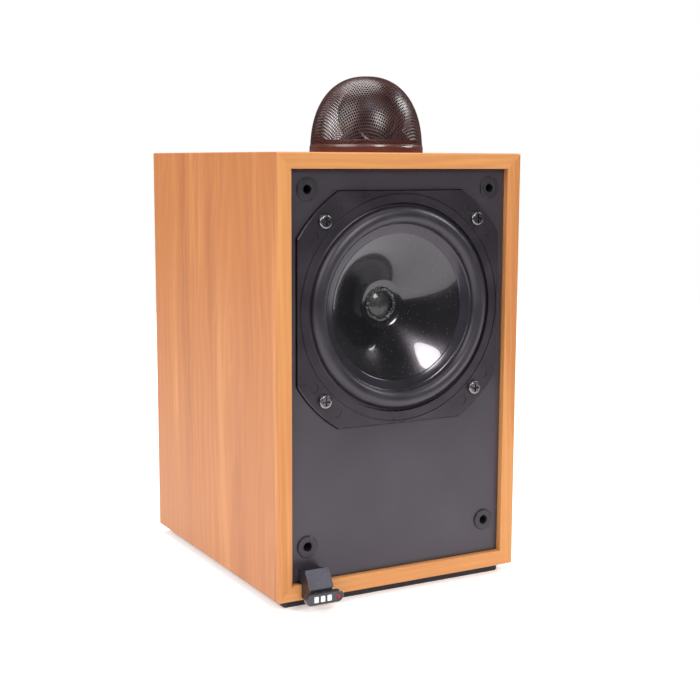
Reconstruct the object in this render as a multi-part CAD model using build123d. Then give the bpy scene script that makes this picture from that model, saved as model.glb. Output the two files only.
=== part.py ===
from build123d import *
import math
import os

os.makedirs("parts", exist_ok=True)

# A two-way bookshelf loudspeaker. Sizes are millimetres.
# X runs to the right as the listener sees it, Y from front to back, Z up.
# The origin is the centre of the base plinth's underside.

# ---- cabinet ----
WIDTH = 160.0
HEIGHT = 250.0
DEPTH = 186.0
BOARD = 12.0
LIPPING_WIDTH = 9.0
LIPPING_DEPTH = 6.0
BASE_HEIGHT = 5.5
BASE_INSET = 6.3
OUTER_ARRIS = 0.8
FRONT_ARRIS = 0.7
INNER_ARRIS = 0.5
BACK_ARRIS = 0.7

FRONT = -DEPTH / 2
BACK = DEPTH / 2
FLOOR = BASE_HEIGHT
TOP = FLOOR + HEIGHT
HALF = WIDTH / 2

# ---- front baffle, its depths counted from the lipping's front face ----
BAFFLE_FACE = 4.0
BAFFLE_THICKNESS = 15.0
BAFFLE_BACK = BAFFLE_FACE + BAFFLE_THICKNESS
BAFFLE_GAP = 0.4

# ---- grille sockets ----
SOCKET_X = 60.0
SOCKET_HEIGHTS = (FLOOR + 29.5, FLOOR + 230.0)
SOCKET_RING_RADIUS = 6.25
SOCKET_PROUD = 1.2
SOCKET_BODY_RADIUS = 4.5
SOCKET_BODY_LENGTH = 14.0
SOCKET_BORE_RADIUS = 2.6
SOCKET_BORE_DEPTH = 10.0

# ---- woofer, on an axis that runs along Y ----
WOOFER_Z = FLOOR + 162.3
FLANGE_HALF = 66.5
FLANGE_CORNER_RADIUS = 78.0
FLANGE_FACE = 2.0
FLANGE_THICKNESS = 4.0
FLANGE_BACK = FLANGE_FACE + FLANGE_THICKNESS
FLANGE_BORE = 60.0
FLANGE_ARRIS = 0.5
GROOVE_RADII = (64.6, 65.4)
GROOVE_DEPTH = 0.5
EJECTOR_RADIUS = 3.0
EJECTOR_DEPTH = 0.3
BASKET_MOUTH = 58.0
BASKET_WAIST = 40.0
BASKET_WALL = 2.5
GASKET_THICKNESS = 1.0
GASKET_MARGIN = 0.5
REBATE_FLOOR = FLANGE_BACK + GASKET_THICKNESS
REBATE_GAP = 0.5
BAFFLE_BORE = 58.5
SCREW_OFFSET = 50.0
SCREW_HEAD_RADIUS = 4.0
SCREW_HEAD_HEIGHT = 2.4
SCREW_SHANK_RADIUS = 1.9
SCREW_SHANK_LENGTH = 15.0
CONE_RADIUS = 48.4
CONE_EDGE_DEPTH = 4.6
NECK_RADIUS = 13.4
NECK_DEPTH = 26.1
CONE_WALL = 0.8
CONE_CURVE = 1.25
APEX_BACK = 27.2
CAP_RADIUS = 7.7
FORMER_OUTER = 12.9
FORMER_WALL = 0.3
FORMER_END = 52.0
COIL_OUTER = 13.5
COIL_DEPTHS = (43.0, 50.0)
ROLL_CENTRE = 53.0
ROLL_RADIUS = 4.6
ROLL_WALL = 0.8
SHOULDER_DEPTH = 4.6
SPIDER_SEAT = 36.0
SPIDER_RADIUS = 36.5
MOTOR_FRONT = 44.0
TOP_PLATE = 5.0
MAGNET_HEIGHT = 13.0
BACK_PLATE = 5.0
PLATE_RADIUS = 34.0
MAGNET_RADIUS = 36.0
GAP_OUTER = 13.9
POLE_RADIUS = 12.2
TAG_X = 8.0
TAG_Y = FRONT + 31.5
TAG_HALF = (1.5, 0.4)
STRIP_TOP = WOOFER_Z - 46.0
STRIP_THICKNESS = 1.5
STRIP_BACK = 38.0

# ---- tweeter pod on the cabinet's top ----
POD_DEPTH = 44.5
POD_Y = FRONT + POD_DEPTH
POD_RADIUS = 33.0
POD_HEIGHT = 44.0
POD_ROUNDNESS = 2.3
POD_WALL = 0.8
BAND_RADIUS = 33.4
BAND_HEIGHT = 4.0
PLINTH_RADIUS = 31.6
PLINTH_HEIGHT = 7.4
TWEETER_Z = TOP + 21.5
TWEETER_RADIUS = 17.5
TWEETER_FACE = 28.5
PLATE_BACK = 32.5
TWEETER_BACK = 49.5
CRADLE_RADIUS = 19.0
CRADLE_DEPTHS = (31.0, 37.0)
DOME_RADIUS = 12.6
DOME_BASE = 32.4
DOME_TIP = 28.7
POD_BOLT_X = 22.0
GROMMET_Y = -33.0

# ---- terminal cup in the back panel ----
CUP_Z = FLOOR + 72.0
CUP_FLANGE = (78.0, 68.0)
CUP_BODY = (62.0, 52.0)
CUP_WALL = 2.5
CUP_PROUD = 2.0
CUP_FLOOR_Y = BACK - 22.0
CUP_SCREW_X = 35.0
CUP_SCREW_Z = 30.0
POST_X = 9.5
POST_RADIUS = 3.0
POST_BORE = 2.05
POST_END_Y = BACK - 1.5
KNOB_START_Y = CUP_FLOOR_Y + 1.8
KNOB_LENGTH = 18.0
KNOB_LIP = 2.0
KNOB_RADIUS = 6.5
INSERT_RADIUS = 4.5
RUNNING_GAP = 0.05

# ---- crossover, on the bottom panel ----
BOARD_FIXING = ((-44.0, -6.0), (44.0, -6.0), (-44.0, 66.0), (44.0, 66.0))
SPACER_HEIGHT = 5.0
CARD_THICKNESS = 1.6
CARD_X = (-48.0, 48.0)
CARD_Y = (-10.0, 70.0)
CARD_TOP = FLOOR + BOARD + SPACER_HEIGHT + CARD_THICKNESS

# ---- name badge with the overload indicator, low on the left ----
BADGE_X = (-66.0, -51.3)
BADGE_FRONT = -10.8
PLATE_ENDS = (-66.0, -49.5)
PLATE_END_RADIUS = 3.45
PLATE_Z = FLOOR + 4.2
PLATE_FRONT = -14.0
LENS_RADIUS = 1.5

FIT_GAP = 0.05


def block(x, y, z):
    """A block whose low and high limits are given along each axis."""
    middle = [sum(pair) / 2 for pair in (x, y, z)]
    sides = [pair[1] - pair[0] for pair in (x, y, z)]
    return Pos(*middle) * Box(*sides)


def rod(radius, start, end):
    """A round bar from one point to another."""
    along = Vector(*end) - Vector(*start)
    return Solid.make_cylinder(radius, along.length, Plane(Vector(*start), z_dir=along))


def rod_y(radius, x, z, y_start, y_end):
    return rod(radius, (x, y_start, z), (x, y_end, z))


def rod_z(radius, x, y, z_start, z_end):
    return rod(radius, (x, y, z_start), (x, y, z_end))


def turned(outline, x, z):
    """A closed outline of (radius, depth) edges, spun about an axis along Y."""
    return Pos(x, FRONT, z) * revolve(make_face(outline), Axis.Y, 360)


def turned_points(points, x, z):
    return turned(Polyline(*points, close=True), x, z)


def ring(inner, outer, near, far, x, z):
    """A flat ring on an axis along Y, between two depths."""
    return turned_points([(inner, near), (outer, near), (outer, far), (inner, far)], x, z)


def profile_across(points, x):
    """A closed outline of (depth, height) points, carried from one X to another."""
    face = make_face(Polyline(*[(x[0], FRONT + depth, z) for depth, z in points], close=True))
    return extrude(face, x[1] - x[0], dir=(1, 0, 0))


def lead(points, bends, radius):
    """An insulated wire along straight runs joined by arcs."""
    path = FilletPolyline(*points, radius=bends)
    return sweep(Plane(path @ 0, z_dir=path % 0) * Circle(radius), path=path)


def group(pieces):
    return Compound(children=[solid for piece in pieces for solid in piece.solids()])


# ---------------------------------------------------------------- cabinet

def corner_wedges():
    """Four prisms that part a square tube along its corner mitres."""
    reach = DEPTH * 2
    low, high, middle = FLOOR, TOP, HALF
    outlines = {
        "left": [(-HALF, low), (-HALF, high), (0, high - middle), (0, low + middle)],
        "right": [(HALF, low), (HALF, high), (0, high - middle), (0, low + middle)],
        "top": [(-HALF, high), (HALF, high), (0, high - middle)],
        "bottom": [(-HALF, low), (HALF, low), (0, low + middle)],
    }
    wedges = {}
    for side, points in outlines.items():
        face = Plane.XZ * make_face(Polyline(*points, close=True))
        wedges[side] = extrude(face, reach / 2, both=True)
    return wedges


def frame_ring(inset, near, far):
    """What fills the cabinet's outline, less a margin all round, between two depths."""
    return block(
        (inset - HALF, HALF - inset),
        (FRONT + near, FRONT + far),
        (FLOOR + inset, TOP - inset),
    )


def long_corners(solid):
    return [
        edge
        for edge in solid.edges().filter_by(Axis.Y)
        if abs(abs(edge.center().X) - HALF) < 0.01
    ]


def lippings():
    """The solid wood edging round the front, mitred at its corners."""
    frame = frame_ring(0, 0, LIPPING_DEPTH)
    frame = fillet(long_corners(frame), OUTER_ARRIS)
    frame = chamfer(frame.faces().sort_by(Axis.Y)[0].edges(), FRONT_ARRIS)
    opening = frame_ring(LIPPING_WIDTH, 0, LIPPING_DEPTH)
    flare = extrude(
        Plane(
            (0, FRONT, FLOOR + HEIGHT / 2),
            x_dir=(1, 0, 0),
            z_dir=(0, 1, 0),
        )
        * Rectangle(
            WIDTH - 2 * (LIPPING_WIDTH - INNER_ARRIS),
            HEIGHT - 2 * (LIPPING_WIDTH - INNER_ARRIS),
        ),
        INNER_ARRIS,
        taper=45,
    )
    frame = frame - opening - flare
    return {side: frame & wedge for side, wedge in corner_wedges().items()}


def wrapped_panels():
    """Sides, top and bottom, mitred into a sleeve and rebated for the baffle."""
    sleeve = frame_ring(0, LIPPING_DEPTH, DEPTH)
    sleeve = fillet(long_corners(sleeve), OUTER_ARRIS)
    sleeve = chamfer(sleeve.faces().sort_by(Axis.Y)[-1].edges(), BACK_ARRIS)
    sleeve = sleeve - frame_ring(BOARD, LIPPING_DEPTH, DEPTH)
    sleeve = sleeve - frame_ring(LIPPING_WIDTH, LIPPING_DEPTH, BAFFLE_BACK)
    panels = {side: sleeve & wedge for side, wedge in corner_wedges().items()}
    for x in (-POD_BOLT_X, POD_BOLT_X):
        panels["top"] -= rod_z(2.2, x, POD_Y, TOP - BOARD, TOP)
    panels["top"] -= rod_z(4.05, 0, GROMMET_Y, TOP - BOARD, TOP)
    for x, y in BOARD_FIXING:
        panels["bottom"] -= rod_z(1.45, x, y, FLOOR + 3, FLOOR + BOARD)
    return panels


def back_panel():
    """The back board, let in flush, with the terminal cup's cut-out."""
    panel = frame_ring(BOARD, DEPTH - BOARD, DEPTH)
    gap = 0.3
    panel -= block(
        (-CUP_BODY[0] / 2 - gap, CUP_BODY[0] / 2 + gap),
        (BACK - BOARD, BACK),
        (CUP_Z - CUP_BODY[1] / 2 - gap, CUP_Z + CUP_BODY[1] / 2 + gap),
    )
    for x in (-CUP_SCREW_X, CUP_SCREW_X):
        for z in (CUP_Z - CUP_SCREW_Z, CUP_Z + CUP_SCREW_Z):
            panel -= rod_y(1.25, x, z, BACK - 9, BACK)
    return panel


def flange_outline(margin):
    """The woofer flange's shape: a square whose corners are cut by a circle."""
    side = 2 * (FLANGE_HALF + margin)
    return Rectangle(side, side) & Circle(FLANGE_CORNER_RADIUS + margin)


def flange_slab(margin, near, far):
    plane = Plane((0, FRONT + near, WOOFER_Z), x_dir=(1, 0, 0), z_dir=(0, 1, 0))
    return extrude(plane * flange_outline(margin), far - near)


def screw_places():
    return [
        (x, WOOFER_Z + z)
        for x in (-SCREW_OFFSET, SCREW_OFFSET)
        for z in (-SCREW_OFFSET, SCREW_OFFSET)
    ]


def socket_places():
    return [(x, z) for x in (-SOCKET_X, SOCKET_X) for z in SOCKET_HEIGHTS]


def front_baffle():
    baffle = frame_ring(LIPPING_WIDTH + BAFFLE_GAP, BAFFLE_FACE, BAFFLE_BACK)
    baffle -= flange_slab(REBATE_GAP, BAFFLE_FACE, REBATE_FLOOR)
    baffle -= rod_y(BAFFLE_BORE, 0, WOOFER_Z, FRONT, FRONT + BAFFLE_BACK)
    for x, z in screw_places():
        baffle -= rod_y(SCREW_SHANK_RADIUS + FIT_GAP, x, z, FRONT, FRONT + BAFFLE_BACK)
    for x, z in socket_places():
        baffle -= rod_y(SOCKET_BODY_RADIUS + FIT_GAP, x, z, FRONT, FRONT + BAFFLE_BACK)
    baffle -= rod_y(1.6, sum(BADGE_X) / 2, FLOOR + 14, FRONT, FRONT + BAFFLE_BACK)
    return baffle


def base_plinth():
    half_x = HALF - BASE_INSET
    half_y = DEPTH / 2 - BASE_INSET
    plinth = block((-half_x, half_x), (-half_y, half_y), (0, BASE_HEIGHT))
    plinth = fillet(plinth.edges().filter_by(Axis.Z), 2.0)
    return chamfer(plinth.faces().sort_by(Axis.Z)[0].edges(), 0.8)


def grille_sockets():
    """Blind cups that take the pegs of a front grille."""
    near = BAFFLE_FACE - SOCKET_PROUD
    lip = 0.4
    sockets = []
    for x, z in socket_places():
        outline = [
            (SOCKET_BORE_RADIUS + lip, near),
            (SOCKET_RING_RADIUS - lip, near),
            (SOCKET_RING_RADIUS, near + lip),
            (SOCKET_RING_RADIUS, BAFFLE_FACE),
            (SOCKET_BODY_RADIUS, BAFFLE_FACE),
            (SOCKET_BODY_RADIUS, BAFFLE_FACE + SOCKET_BODY_LENGTH),
            (0, BAFFLE_FACE + SOCKET_BODY_LENGTH),
            (0, near + SOCKET_BORE_DEPTH),
            (SOCKET_BORE_RADIUS, near + SOCKET_BORE_DEPTH),
            (SOCKET_BORE_RADIUS, near + lip),
        ]
        sockets.append(turned_points(outline, x, z))
    return group(sockets)


# ---------------------------------------------------------------- woofer

def woofer_frame():
    """Moulded flange and open basket in one piece."""
    frame = flange_slab(0, FLANGE_FACE, FLANGE_BACK)
    frame = chamfer(frame.faces().sort_by(Axis.Y)[0].edges(), FLANGE_ARRIS)
    frame -= rod_y(FLANGE_BORE, 0, WOOFER_Z, FRONT, FRONT + FLANGE_BACK)
    frame += basket()
    frame -= basket_windows()
    frame += tag_pad()
    frame -= ring(*GROOVE_RADII, FLANGE_FACE, FLANGE_FACE + GROOVE_DEPTH, 0, WOOFER_Z)
    face_y = FRONT + FLANGE_FACE
    for x, z in screw_places():
        frame -= rod_y(SCREW_SHANK_RADIUS + 0.3, x, z, face_y, FRONT + FLANGE_BACK)
    for x, z in ejector_marks():
        frame -= rod_y(EJECTOR_RADIUS, x, z, face_y, face_y + EJECTOR_DEPTH)
    return frame


def basket():
    """The bowl behind the flange, with a ledge for the spider and a seat for the motor."""
    shoulder_end = FLANGE_BORE + 1
    mouth_depth, waist_depth = 10.0, 38.0
    motor_hole, ledge_inner, ledge_outer = 20.0, 32.0, 37.0
    seat_depth = MOTOR_FRONT - BASKET_WALL
    outline = [
        (FLANGE_BORE, SHOULDER_DEPTH),
        (shoulder_end, SHOULDER_DEPTH),
        (shoulder_end, FLANGE_BACK),
        (BASKET_MOUTH, FLANGE_BACK),
        (BASKET_MOUTH, mouth_depth),
        (BASKET_WAIST, waist_depth),
        (BASKET_WAIST - 2, MOTOR_FRONT),
        (motor_hole, MOTOR_FRONT),
        (motor_hole, seat_depth),
        (ledge_inner, seat_depth),
        (ledge_inner, SPIDER_SEAT),
        (ledge_outer, SPIDER_SEAT),
        (BASKET_MOUTH - BASKET_WALL, mouth_depth - 2),
        (BASKET_MOUTH - BASKET_WALL, SHOULDER_DEPTH),
    ]
    return turned_points(outline, 0, WOOFER_Z)


def tag_pad():
    """The boss under the basket that the tag strip is fixed to."""
    half_width, height, near = 5.5, 5.0, 29.0
    return block(
        (-half_width, half_width),
        (FRONT + near, FRONT + STRIP_BACK),
        (STRIP_TOP, STRIP_TOP + height),
    )


def basket_windows():
    """Six openings between the basket's spokes."""
    near, far, count, half_angle = 12, 33, 6, 22
    inner, beyond = 37.5, 80.0
    cut = None
    for index in range(count):
        middle = 360 / count * index
        corners = [
            (radius * math.cos(math.radians(angle)), radius * math.sin(math.radians(angle)))
            for radius, angle in (
                (inner, middle - half_angle),
                (beyond, middle - half_angle),
                (beyond, middle + half_angle),
                (inner, middle + half_angle),
            )
        ]
        plane = Plane((0, FRONT + near, WOOFER_Z), x_dir=(1, 0, 0), z_dir=(0, 1, 0))
        window = extrude(plane * make_face(Polyline(*corners, close=True)), far - near)
        cut = window if cut is None else cut + window
    return cut


def ejector_marks():
    """Round mould marks on the flange, one on each side of every screw."""
    circle = math.hypot(SCREW_OFFSET, SCREW_OFFSET)
    spread = 8.5
    marks = []
    for corner in (45, 135, 225, 315):
        for angle in (corner - spread, corner + spread):
            turn = math.radians(angle)
            marks.append((circle * math.cos(turn), WOOFER_Z + circle * math.sin(turn)))
    return marks


def woofer_gasket():
    gasket = flange_slab(-GASKET_MARGIN, FLANGE_BACK, REBATE_FLOOR)
    gasket -= rod_y(BAFFLE_BORE, 0, WOOFER_Z, FRONT, FRONT + REBATE_FLOOR)
    for x, z in screw_places():
        gasket -= rod_y(SCREW_SHANK_RADIUS + 0.5, x, z, FRONT, FRONT + REBATE_FLOOR)
    return gasket


def pan_screw(x, z, seat_y, head_radius, head_height, shank_radius, shank_length, outward):
    """A cross-recess pan-head screw on an axis along Y; outward is -1 to face the front."""
    head = rod_y(head_radius, x, z, seat_y, seat_y + outward * head_height)
    rim = head.faces().sort_by(Axis.Y)[0 if outward < 0 else -1].edges()
    head = fillet(rim, head_height * 0.5)
    tip = seat_y + outward * head_height
    reach = head_radius * 0.58
    slot = head_radius * 0.12
    floor = tip - outward * head_height * 0.6
    depth = tuple(sorted((floor, tip)))
    head -= block((x - reach, x + reach), depth, (z - slot, z + slot))
    head -= block((x - slot, x + slot), depth, (z - reach, z + reach))
    return head + rod_y(shank_radius, x, z, seat_y, seat_y - outward * shank_length)


def woofer_screws():
    return group(
        pan_screw(
            x,
            z,
            FRONT + FLANGE_FACE,
            SCREW_HEAD_RADIUS,
            SCREW_HEAD_HEIGHT,
            SCREW_SHANK_RADIUS,
            SCREW_SHANK_LENGTH,
            -1,
        )
        for x, z in screw_places()
    )


def cone_depth(radius):
    """How far back the cone's front face lies at a radius: flat at the rim, steep at the neck."""
    share = (CONE_RADIUS - radius) / (CONE_RADIUS - NECK_RADIUS)
    return CONE_EDGE_DEPTH + (NECK_DEPTH - CONE_EDGE_DEPTH) * share**CONE_CURVE


def cone_curve(outer, inner, behind, steps=7):
    radii = [outer + (inner - outer) * step / steps for step in range(steps + 1)]
    return [(radius, cone_depth(radius) + behind) for radius in radii]


def woofer_cone():
    front = cone_curve(CONE_RADIUS, NECK_RADIUS, 0)
    back = cone_curve(CONE_RADIUS, NECK_RADIUS, CONE_WALL)
    apex = (CAP_RADIUS, NECK_DEPTH + 0.4)
    outline = [
        Spline(*front),
        Line(front[-1], apex),
        Line(apex, (CAP_RADIUS, APEX_BACK)),
        Line((CAP_RADIUS, APEX_BACK), (NECK_RADIUS, APEX_BACK)),
        Line((NECK_RADIUS, APEX_BACK), back[-1]),
        Spline(*back),
        Line(back[0], front[0]),
    ]
    return turned(outline, 0, WOOFER_Z)


def woofer_surround():
    """Half-roll rubber edge between the basket's shoulder and the cone."""
    seat = SHOULDER_DEPTH - ROLL_WALL
    outer = ROLL_RADIUS + ROLL_WALL / 2
    inner = ROLL_RADIUS - ROLL_WALL / 2
    rest_gap = 0.15
    land = cone_curve(ROLL_CENTRE - outer, 43.0, -rest_gap, 3)
    land_front = [(radius, depth - ROLL_WALL * 0.6) for radius, depth in land]
    foot = (ROLL_CENTRE - outer, seat)
    outline = [
        Line((FLANGE_BORE - 0.2, SHOULDER_DEPTH), (FLANGE_BORE - 0.2, seat)),
        Line((FLANGE_BORE - 0.2, seat), (ROLL_CENTRE + outer, seat)),
        ThreePointArc((ROLL_CENTRE + outer, seat), (ROLL_CENTRE, seat - outer), foot),
        Line(foot, land_front[0]),
        Spline(*land_front),
        Line(land_front[-1], land[-1]),
        Spline(*land),
        Line(land[0], (ROLL_CENTRE - inner, land[0][1])),
        Line((ROLL_CENTRE - inner, land[0][1]), (ROLL_CENTRE - inner, seat)),
        ThreePointArc(
            (ROLL_CENTRE - inner, seat), (ROLL_CENTRE, seat - inner), (ROLL_CENTRE + inner, seat)
        ),
        Line((ROLL_CENTRE + inner, seat), (ROLL_CENTRE + inner, SHOULDER_DEPTH)),
        Line((ROLL_CENTRE + inner, SHOULDER_DEPTH), (FLANGE_BORE - 0.2, SHOULDER_DEPTH)),
    ]
    return turned(outline, 0, WOOFER_Z)


def cap_arc(radius, base, rise):
    """A spherical cap's section, from its rim to its crown; the crown stands forward of the base."""
    sphere = (radius**2 + rise**2) / (2 * rise)
    half_turn = math.asin(radius / sphere) / 2
    between = (
        sphere * math.sin(half_turn),
        base - rise + sphere * (1 - math.cos(half_turn)),
    )
    return ThreePointArc((radius, base), between, (0, base - rise))


def thin_cap(radius, base, rise, wall, z):
    """A domed shell of even thickness, closed at its rim."""
    outer = cap_arc(radius, base, rise)
    inner = cap_arc(radius - wall, base, rise - wall)
    outline = [
        outer,
        Line((0, base - rise), (0, base - rise + wall)),
        inner,
        Line((radius - wall, base), (radius, base)),
    ]
    return turned(outline, 0, z)


def dust_cap():
    """A shallow cap over the cone's apex."""
    return thin_cap(CAP_RADIUS, NECK_DEPTH + 0.4, 2.2, 0.5, WOOFER_Z)


def glue_ring():
    """The bead of clear adhesive round the dust cap."""
    outer, height = 10.4, 1.1
    seat_in = NECK_DEPTH + 0.4
    slope = 0.4 / (NECK_RADIUS - CAP_RADIUS)
    seat_out = seat_in - slope * (outer - CAP_RADIUS)
    start, end = (CAP_RADIUS, seat_in), (outer, seat_out)
    crown = ((CAP_RADIUS + outer) / 2, (seat_in + seat_out) / 2 - height)
    lift = (CAP_RADIUS, seat_in - 0.2)
    outline = [Line(start, lift), ThreePointArc(lift, crown, end), Line(end, start)]
    return turned(outline, 0, WOOFER_Z)


def coil_former():
    inner = FORMER_OUTER - FORMER_WALL
    return ring(inner, FORMER_OUTER, APEX_BACK, FORMER_END, 0, WOOFER_Z)


def woofer_coil():
    return ring(FORMER_OUTER, COIL_OUTER, *COIL_DEPTHS, 0, WOOFER_Z)


def spider():
    """Corrugated cloth disc that centres the former."""
    inner, last_wave, outer = FORMER_OUTER + 0.15, 32.0, SPIDER_RADIUS
    middle, swing, wall, waves = SPIDER_SEAT - 0.9, 1.0, 0.5, 4
    steps = waves * 4

    def face_points(behind):
        points = []
        for step in range(steps + 1):
            radius = inner + (last_wave - inner) * step / steps
            wave = swing * math.sin(2 * math.pi * waves * step / steps)
            points.append((radius, middle - wave + behind))
        return points

    front, back = face_points(-wall / 2), face_points(wall / 2)
    rim_front = (outer, SPIDER_SEAT - 2 * wall)
    rim_back = (outer, SPIDER_SEAT)
    outline = [
        Spline(*front),
        Line(front[-1], rim_front),
        Line(rim_front, rim_back),
        Line(rim_back, (last_wave + 0.6, SPIDER_SEAT)),
        Line((last_wave + 0.6, SPIDER_SEAT), back[-1]),
        Spline(*back),
        Line(back[0], front[0]),
    ]
    return turned(outline, 0, WOOFER_Z)


def woofer_top_plate():
    return ring(GAP_OUTER, PLATE_RADIUS, MOTOR_FRONT, MOTOR_FRONT + TOP_PLATE, 0, WOOFER_Z)


def woofer_magnet():
    near = MOTOR_FRONT + TOP_PLATE
    far = near + MAGNET_HEIGHT
    hole, soft = 16.0, 1.2
    outline = [
        (hole, near),
        (MAGNET_RADIUS - soft, near),
        (MAGNET_RADIUS, near + soft),
        (MAGNET_RADIUS, far - soft),
        (MAGNET_RADIUS - soft, far),
        (hole, far),
    ]
    return turned_points(outline, 0, WOOFER_Z)


def woofer_pole_plate():
    near = MOTOR_FRONT + TOP_PLATE + MAGNET_HEIGHT
    plate = rod_y(PLATE_RADIUS, 0, WOOFER_Z, FRONT + near, FRONT + near + BACK_PLATE)
    return plate + rod_y(POLE_RADIUS, 0, WOOFER_Z, FRONT + MOTOR_FRONT, FRONT + near)


def woofer_tag_strip():
    """A fibre strip under the basket that carries two solder tags."""
    half_width, near = 11.0, 29.2
    under = STRIP_TOP - STRIP_THICKNESS
    strip = block(
        (-half_width, half_width), (FRONT + near, FRONT + STRIP_BACK), (under, STRIP_TOP)
    )
    tags = []
    for x in (-TAG_X, TAG_X):
        across = (x - TAG_HALF[0], x + TAG_HALF[0])
        through = (TAG_Y - TAG_HALF[1], TAG_Y + TAG_HALF[1])
        strip -= block(across, through, (under, STRIP_TOP))
        tags.append(block(across, through, (STRIP_TOP - 5, STRIP_TOP + 2)))
    return group([strip] + tags)


def tinsel_leads():
    """Two braided leads from the former to the tags."""
    leads = []
    for x in (-TAG_X, TAG_X):
        route = [
            (x, FRONT + 29.5, WOOFER_Z - 12.5),
            (x, FRONT + 30.0, WOOFER_Z - 24),
            (x, FRONT + 27.0, WOOFER_Z - 36),
            (x, TAG_Y, STRIP_TOP + 2.6),
        ]
        leads.append(lead(route, 6.0, 0.6))
    return group(leads)


# ---------------------------------------------------------------- terminals

def terminal_cup():
    """Recessed moulding that holds the two binding posts."""
    plane = Plane((0, BACK, CUP_Z), x_dir=(1, 0, 0), z_dir=(0, 1, 0))
    flange = extrude(plane * RectangleRounded(*CUP_FLANGE, 6), CUP_PROUD)
    flange = chamfer(flange.faces().sort_by(Axis.Y)[-1].edges(), 0.6)
    body = extrude(plane * RectangleRounded(*CUP_BODY, 4), CUP_FLOOR_Y - CUP_WALL - BACK)
    inside = RectangleRounded(CUP_BODY[0] - 2 * CUP_WALL, CUP_BODY[1] - 2 * CUP_WALL, 3)
    mouth = Plane((0, BACK + CUP_PROUD, CUP_Z), x_dir=(1, 0, 0), z_dir=(0, 1, 0))
    cup = flange + body - extrude(mouth * inside, CUP_FLOOR_Y - BACK - CUP_PROUD)
    for x in (-POST_X, POST_X):
        cup -= rod_y(POST_RADIUS + FIT_GAP, x, CUP_Z, CUP_FLOOR_Y - CUP_WALL, CUP_FLOOR_Y)
    for x, z in cup_screw_places():
        cup -= rod_y(1.4, x, z, BACK, BACK + CUP_PROUD)
    return cup


def cup_screw_places():
    return [
        (x, z)
        for x in (-CUP_SCREW_X, CUP_SCREW_X)
        for z in (CUP_Z - CUP_SCREW_Z, CUP_Z + CUP_SCREW_Z)
    ]


def terminal_screws():
    return group(
        pan_screw(x, z, BACK + CUP_PROUD, 2.6, 1.6, 1.2, 10, 1) for x, z in cup_screw_places()
    )


def terminal_posts():
    """Two turned posts, each with a bore for a plug and a cross hole for bare wire."""
    posts = []
    for x in (-POST_X, POST_X):
        post = rod_y(POST_RADIUS, x, CUP_Z, CUP_FLOOR_Y - 8, POST_END_Y)
        post += rod_y(5.0, x, CUP_Z, CUP_FLOOR_Y, CUP_FLOOR_Y + 1.5)
        post -= rod_y(POST_BORE, x, CUP_Z, CUP_FLOOR_Y + 5, POST_END_Y)
        post -= rod_z(1.2, x, CUP_FLOOR_Y + 3.2, CUP_Z - 6, CUP_Z + 6)
        posts.append(post)
    return group(posts)


def post_nuts():
    """Hexagon nuts and solder tags behind the cup's floor."""
    seat = CUP_FLOOR_Y - CUP_WALL
    pieces = []
    for x in (-POST_X, POST_X):
        plane = Plane((x, seat, CUP_Z), x_dir=(1, 0, 0), z_dir=(0, -1, 0))
        nut = extrude(plane * RegularPolygon(5.2, 6), 3.0)
        nut -= rod_y(POST_RADIUS + FIT_GAP, x, CUP_Z, seat - 3, seat)
        tag = rod_y(5.0, x, CUP_Z, seat - 3.6, seat - 3)
        tag += block((x - 1.6, x + 1.6), (seat - 3.6, seat - 3), (CUP_Z, CUP_Z + 12))
        tag -= rod_y(POST_RADIUS + FIT_GAP, x, CUP_Z, seat - 3.6, seat - 3)
        pieces += [nut, tag]
    return group(pieces)


def knob_insert(x):
    """The threaded metal sleeve inside a terminal knob."""
    end = KNOB_START_Y + KNOB_LENGTH - KNOB_LIP - 0.1
    insert = rod_y(INSERT_RADIUS, x, CUP_Z, KNOB_START_Y, end)
    return insert - rod_y(POST_RADIUS + RUNNING_GAP, x, CUP_Z, KNOB_START_Y, end)


def terminal_knob(x):
    """The fluted plastic knob that clamps a bare wire."""
    end = KNOB_START_Y + KNOB_LENGTH
    lip = end - KNOB_LIP
    knob = rod_y(KNOB_RADIUS, x, CUP_Z, KNOB_START_Y, end)
    knob = chamfer(knob.faces().sort_by(Axis.Y)[-1].edges(), 0.8)
    knob -= rod_y(INSERT_RADIUS + RUNNING_GAP, x, CUP_Z, KNOB_START_Y, lip)
    knob -= rod_y(POST_RADIUS + 0.3, x, CUP_Z, lip, end)
    flutes = 16
    for index in range(flutes):
        turn = 2 * math.pi * index / flutes
        flute_x = x + (KNOB_RADIUS + 0.5) * math.cos(turn)
        flute_z = CUP_Z + (KNOB_RADIUS + 0.5) * math.sin(turn)
        knob -= rod_y(0.9, flute_x, flute_z, KNOB_START_Y + 3, end)
    return knob


# ---------------------------------------------------------------- crossover

def crossover_board():
    card = block(CARD_X, CARD_Y, (CARD_TOP - CARD_THICKNESS, CARD_TOP))
    for x, y in BOARD_FIXING:
        card -= rod_z(1.6, x, y, CARD_TOP - CARD_THICKNESS, CARD_TOP)
    return card


def crossover_coils():
    coils = []
    for x, y, outer, inner, height in ((-28, 14, 15, 6, 12), (28, 52, 12, 5, 10)):
        coil = rod_z(outer, x, y, CARD_TOP, CARD_TOP + height)
        coils.append(coil - rod_z(inner, x, y, CARD_TOP, CARD_TOP + height))
    return group(coils)


def crossover_capacitors():
    radius, length = 6.0, 26.0
    cans = []
    for y in (9, 24):
        z = CARD_TOP + radius + 0.1
        can = rod(radius, (13, y, z), (13 + length, y, z))
        cans.append(fillet(can.edges(), 0.8))
    return group(cans)


def crossover_resistors():
    return group(
        chamfer(
            block((-40, -18), (y - 4.5, y + 4.5), (CARD_TOP, CARD_TOP + 9)).edges(), 0.5
        )
        for y in (40, 54)
    )


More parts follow.
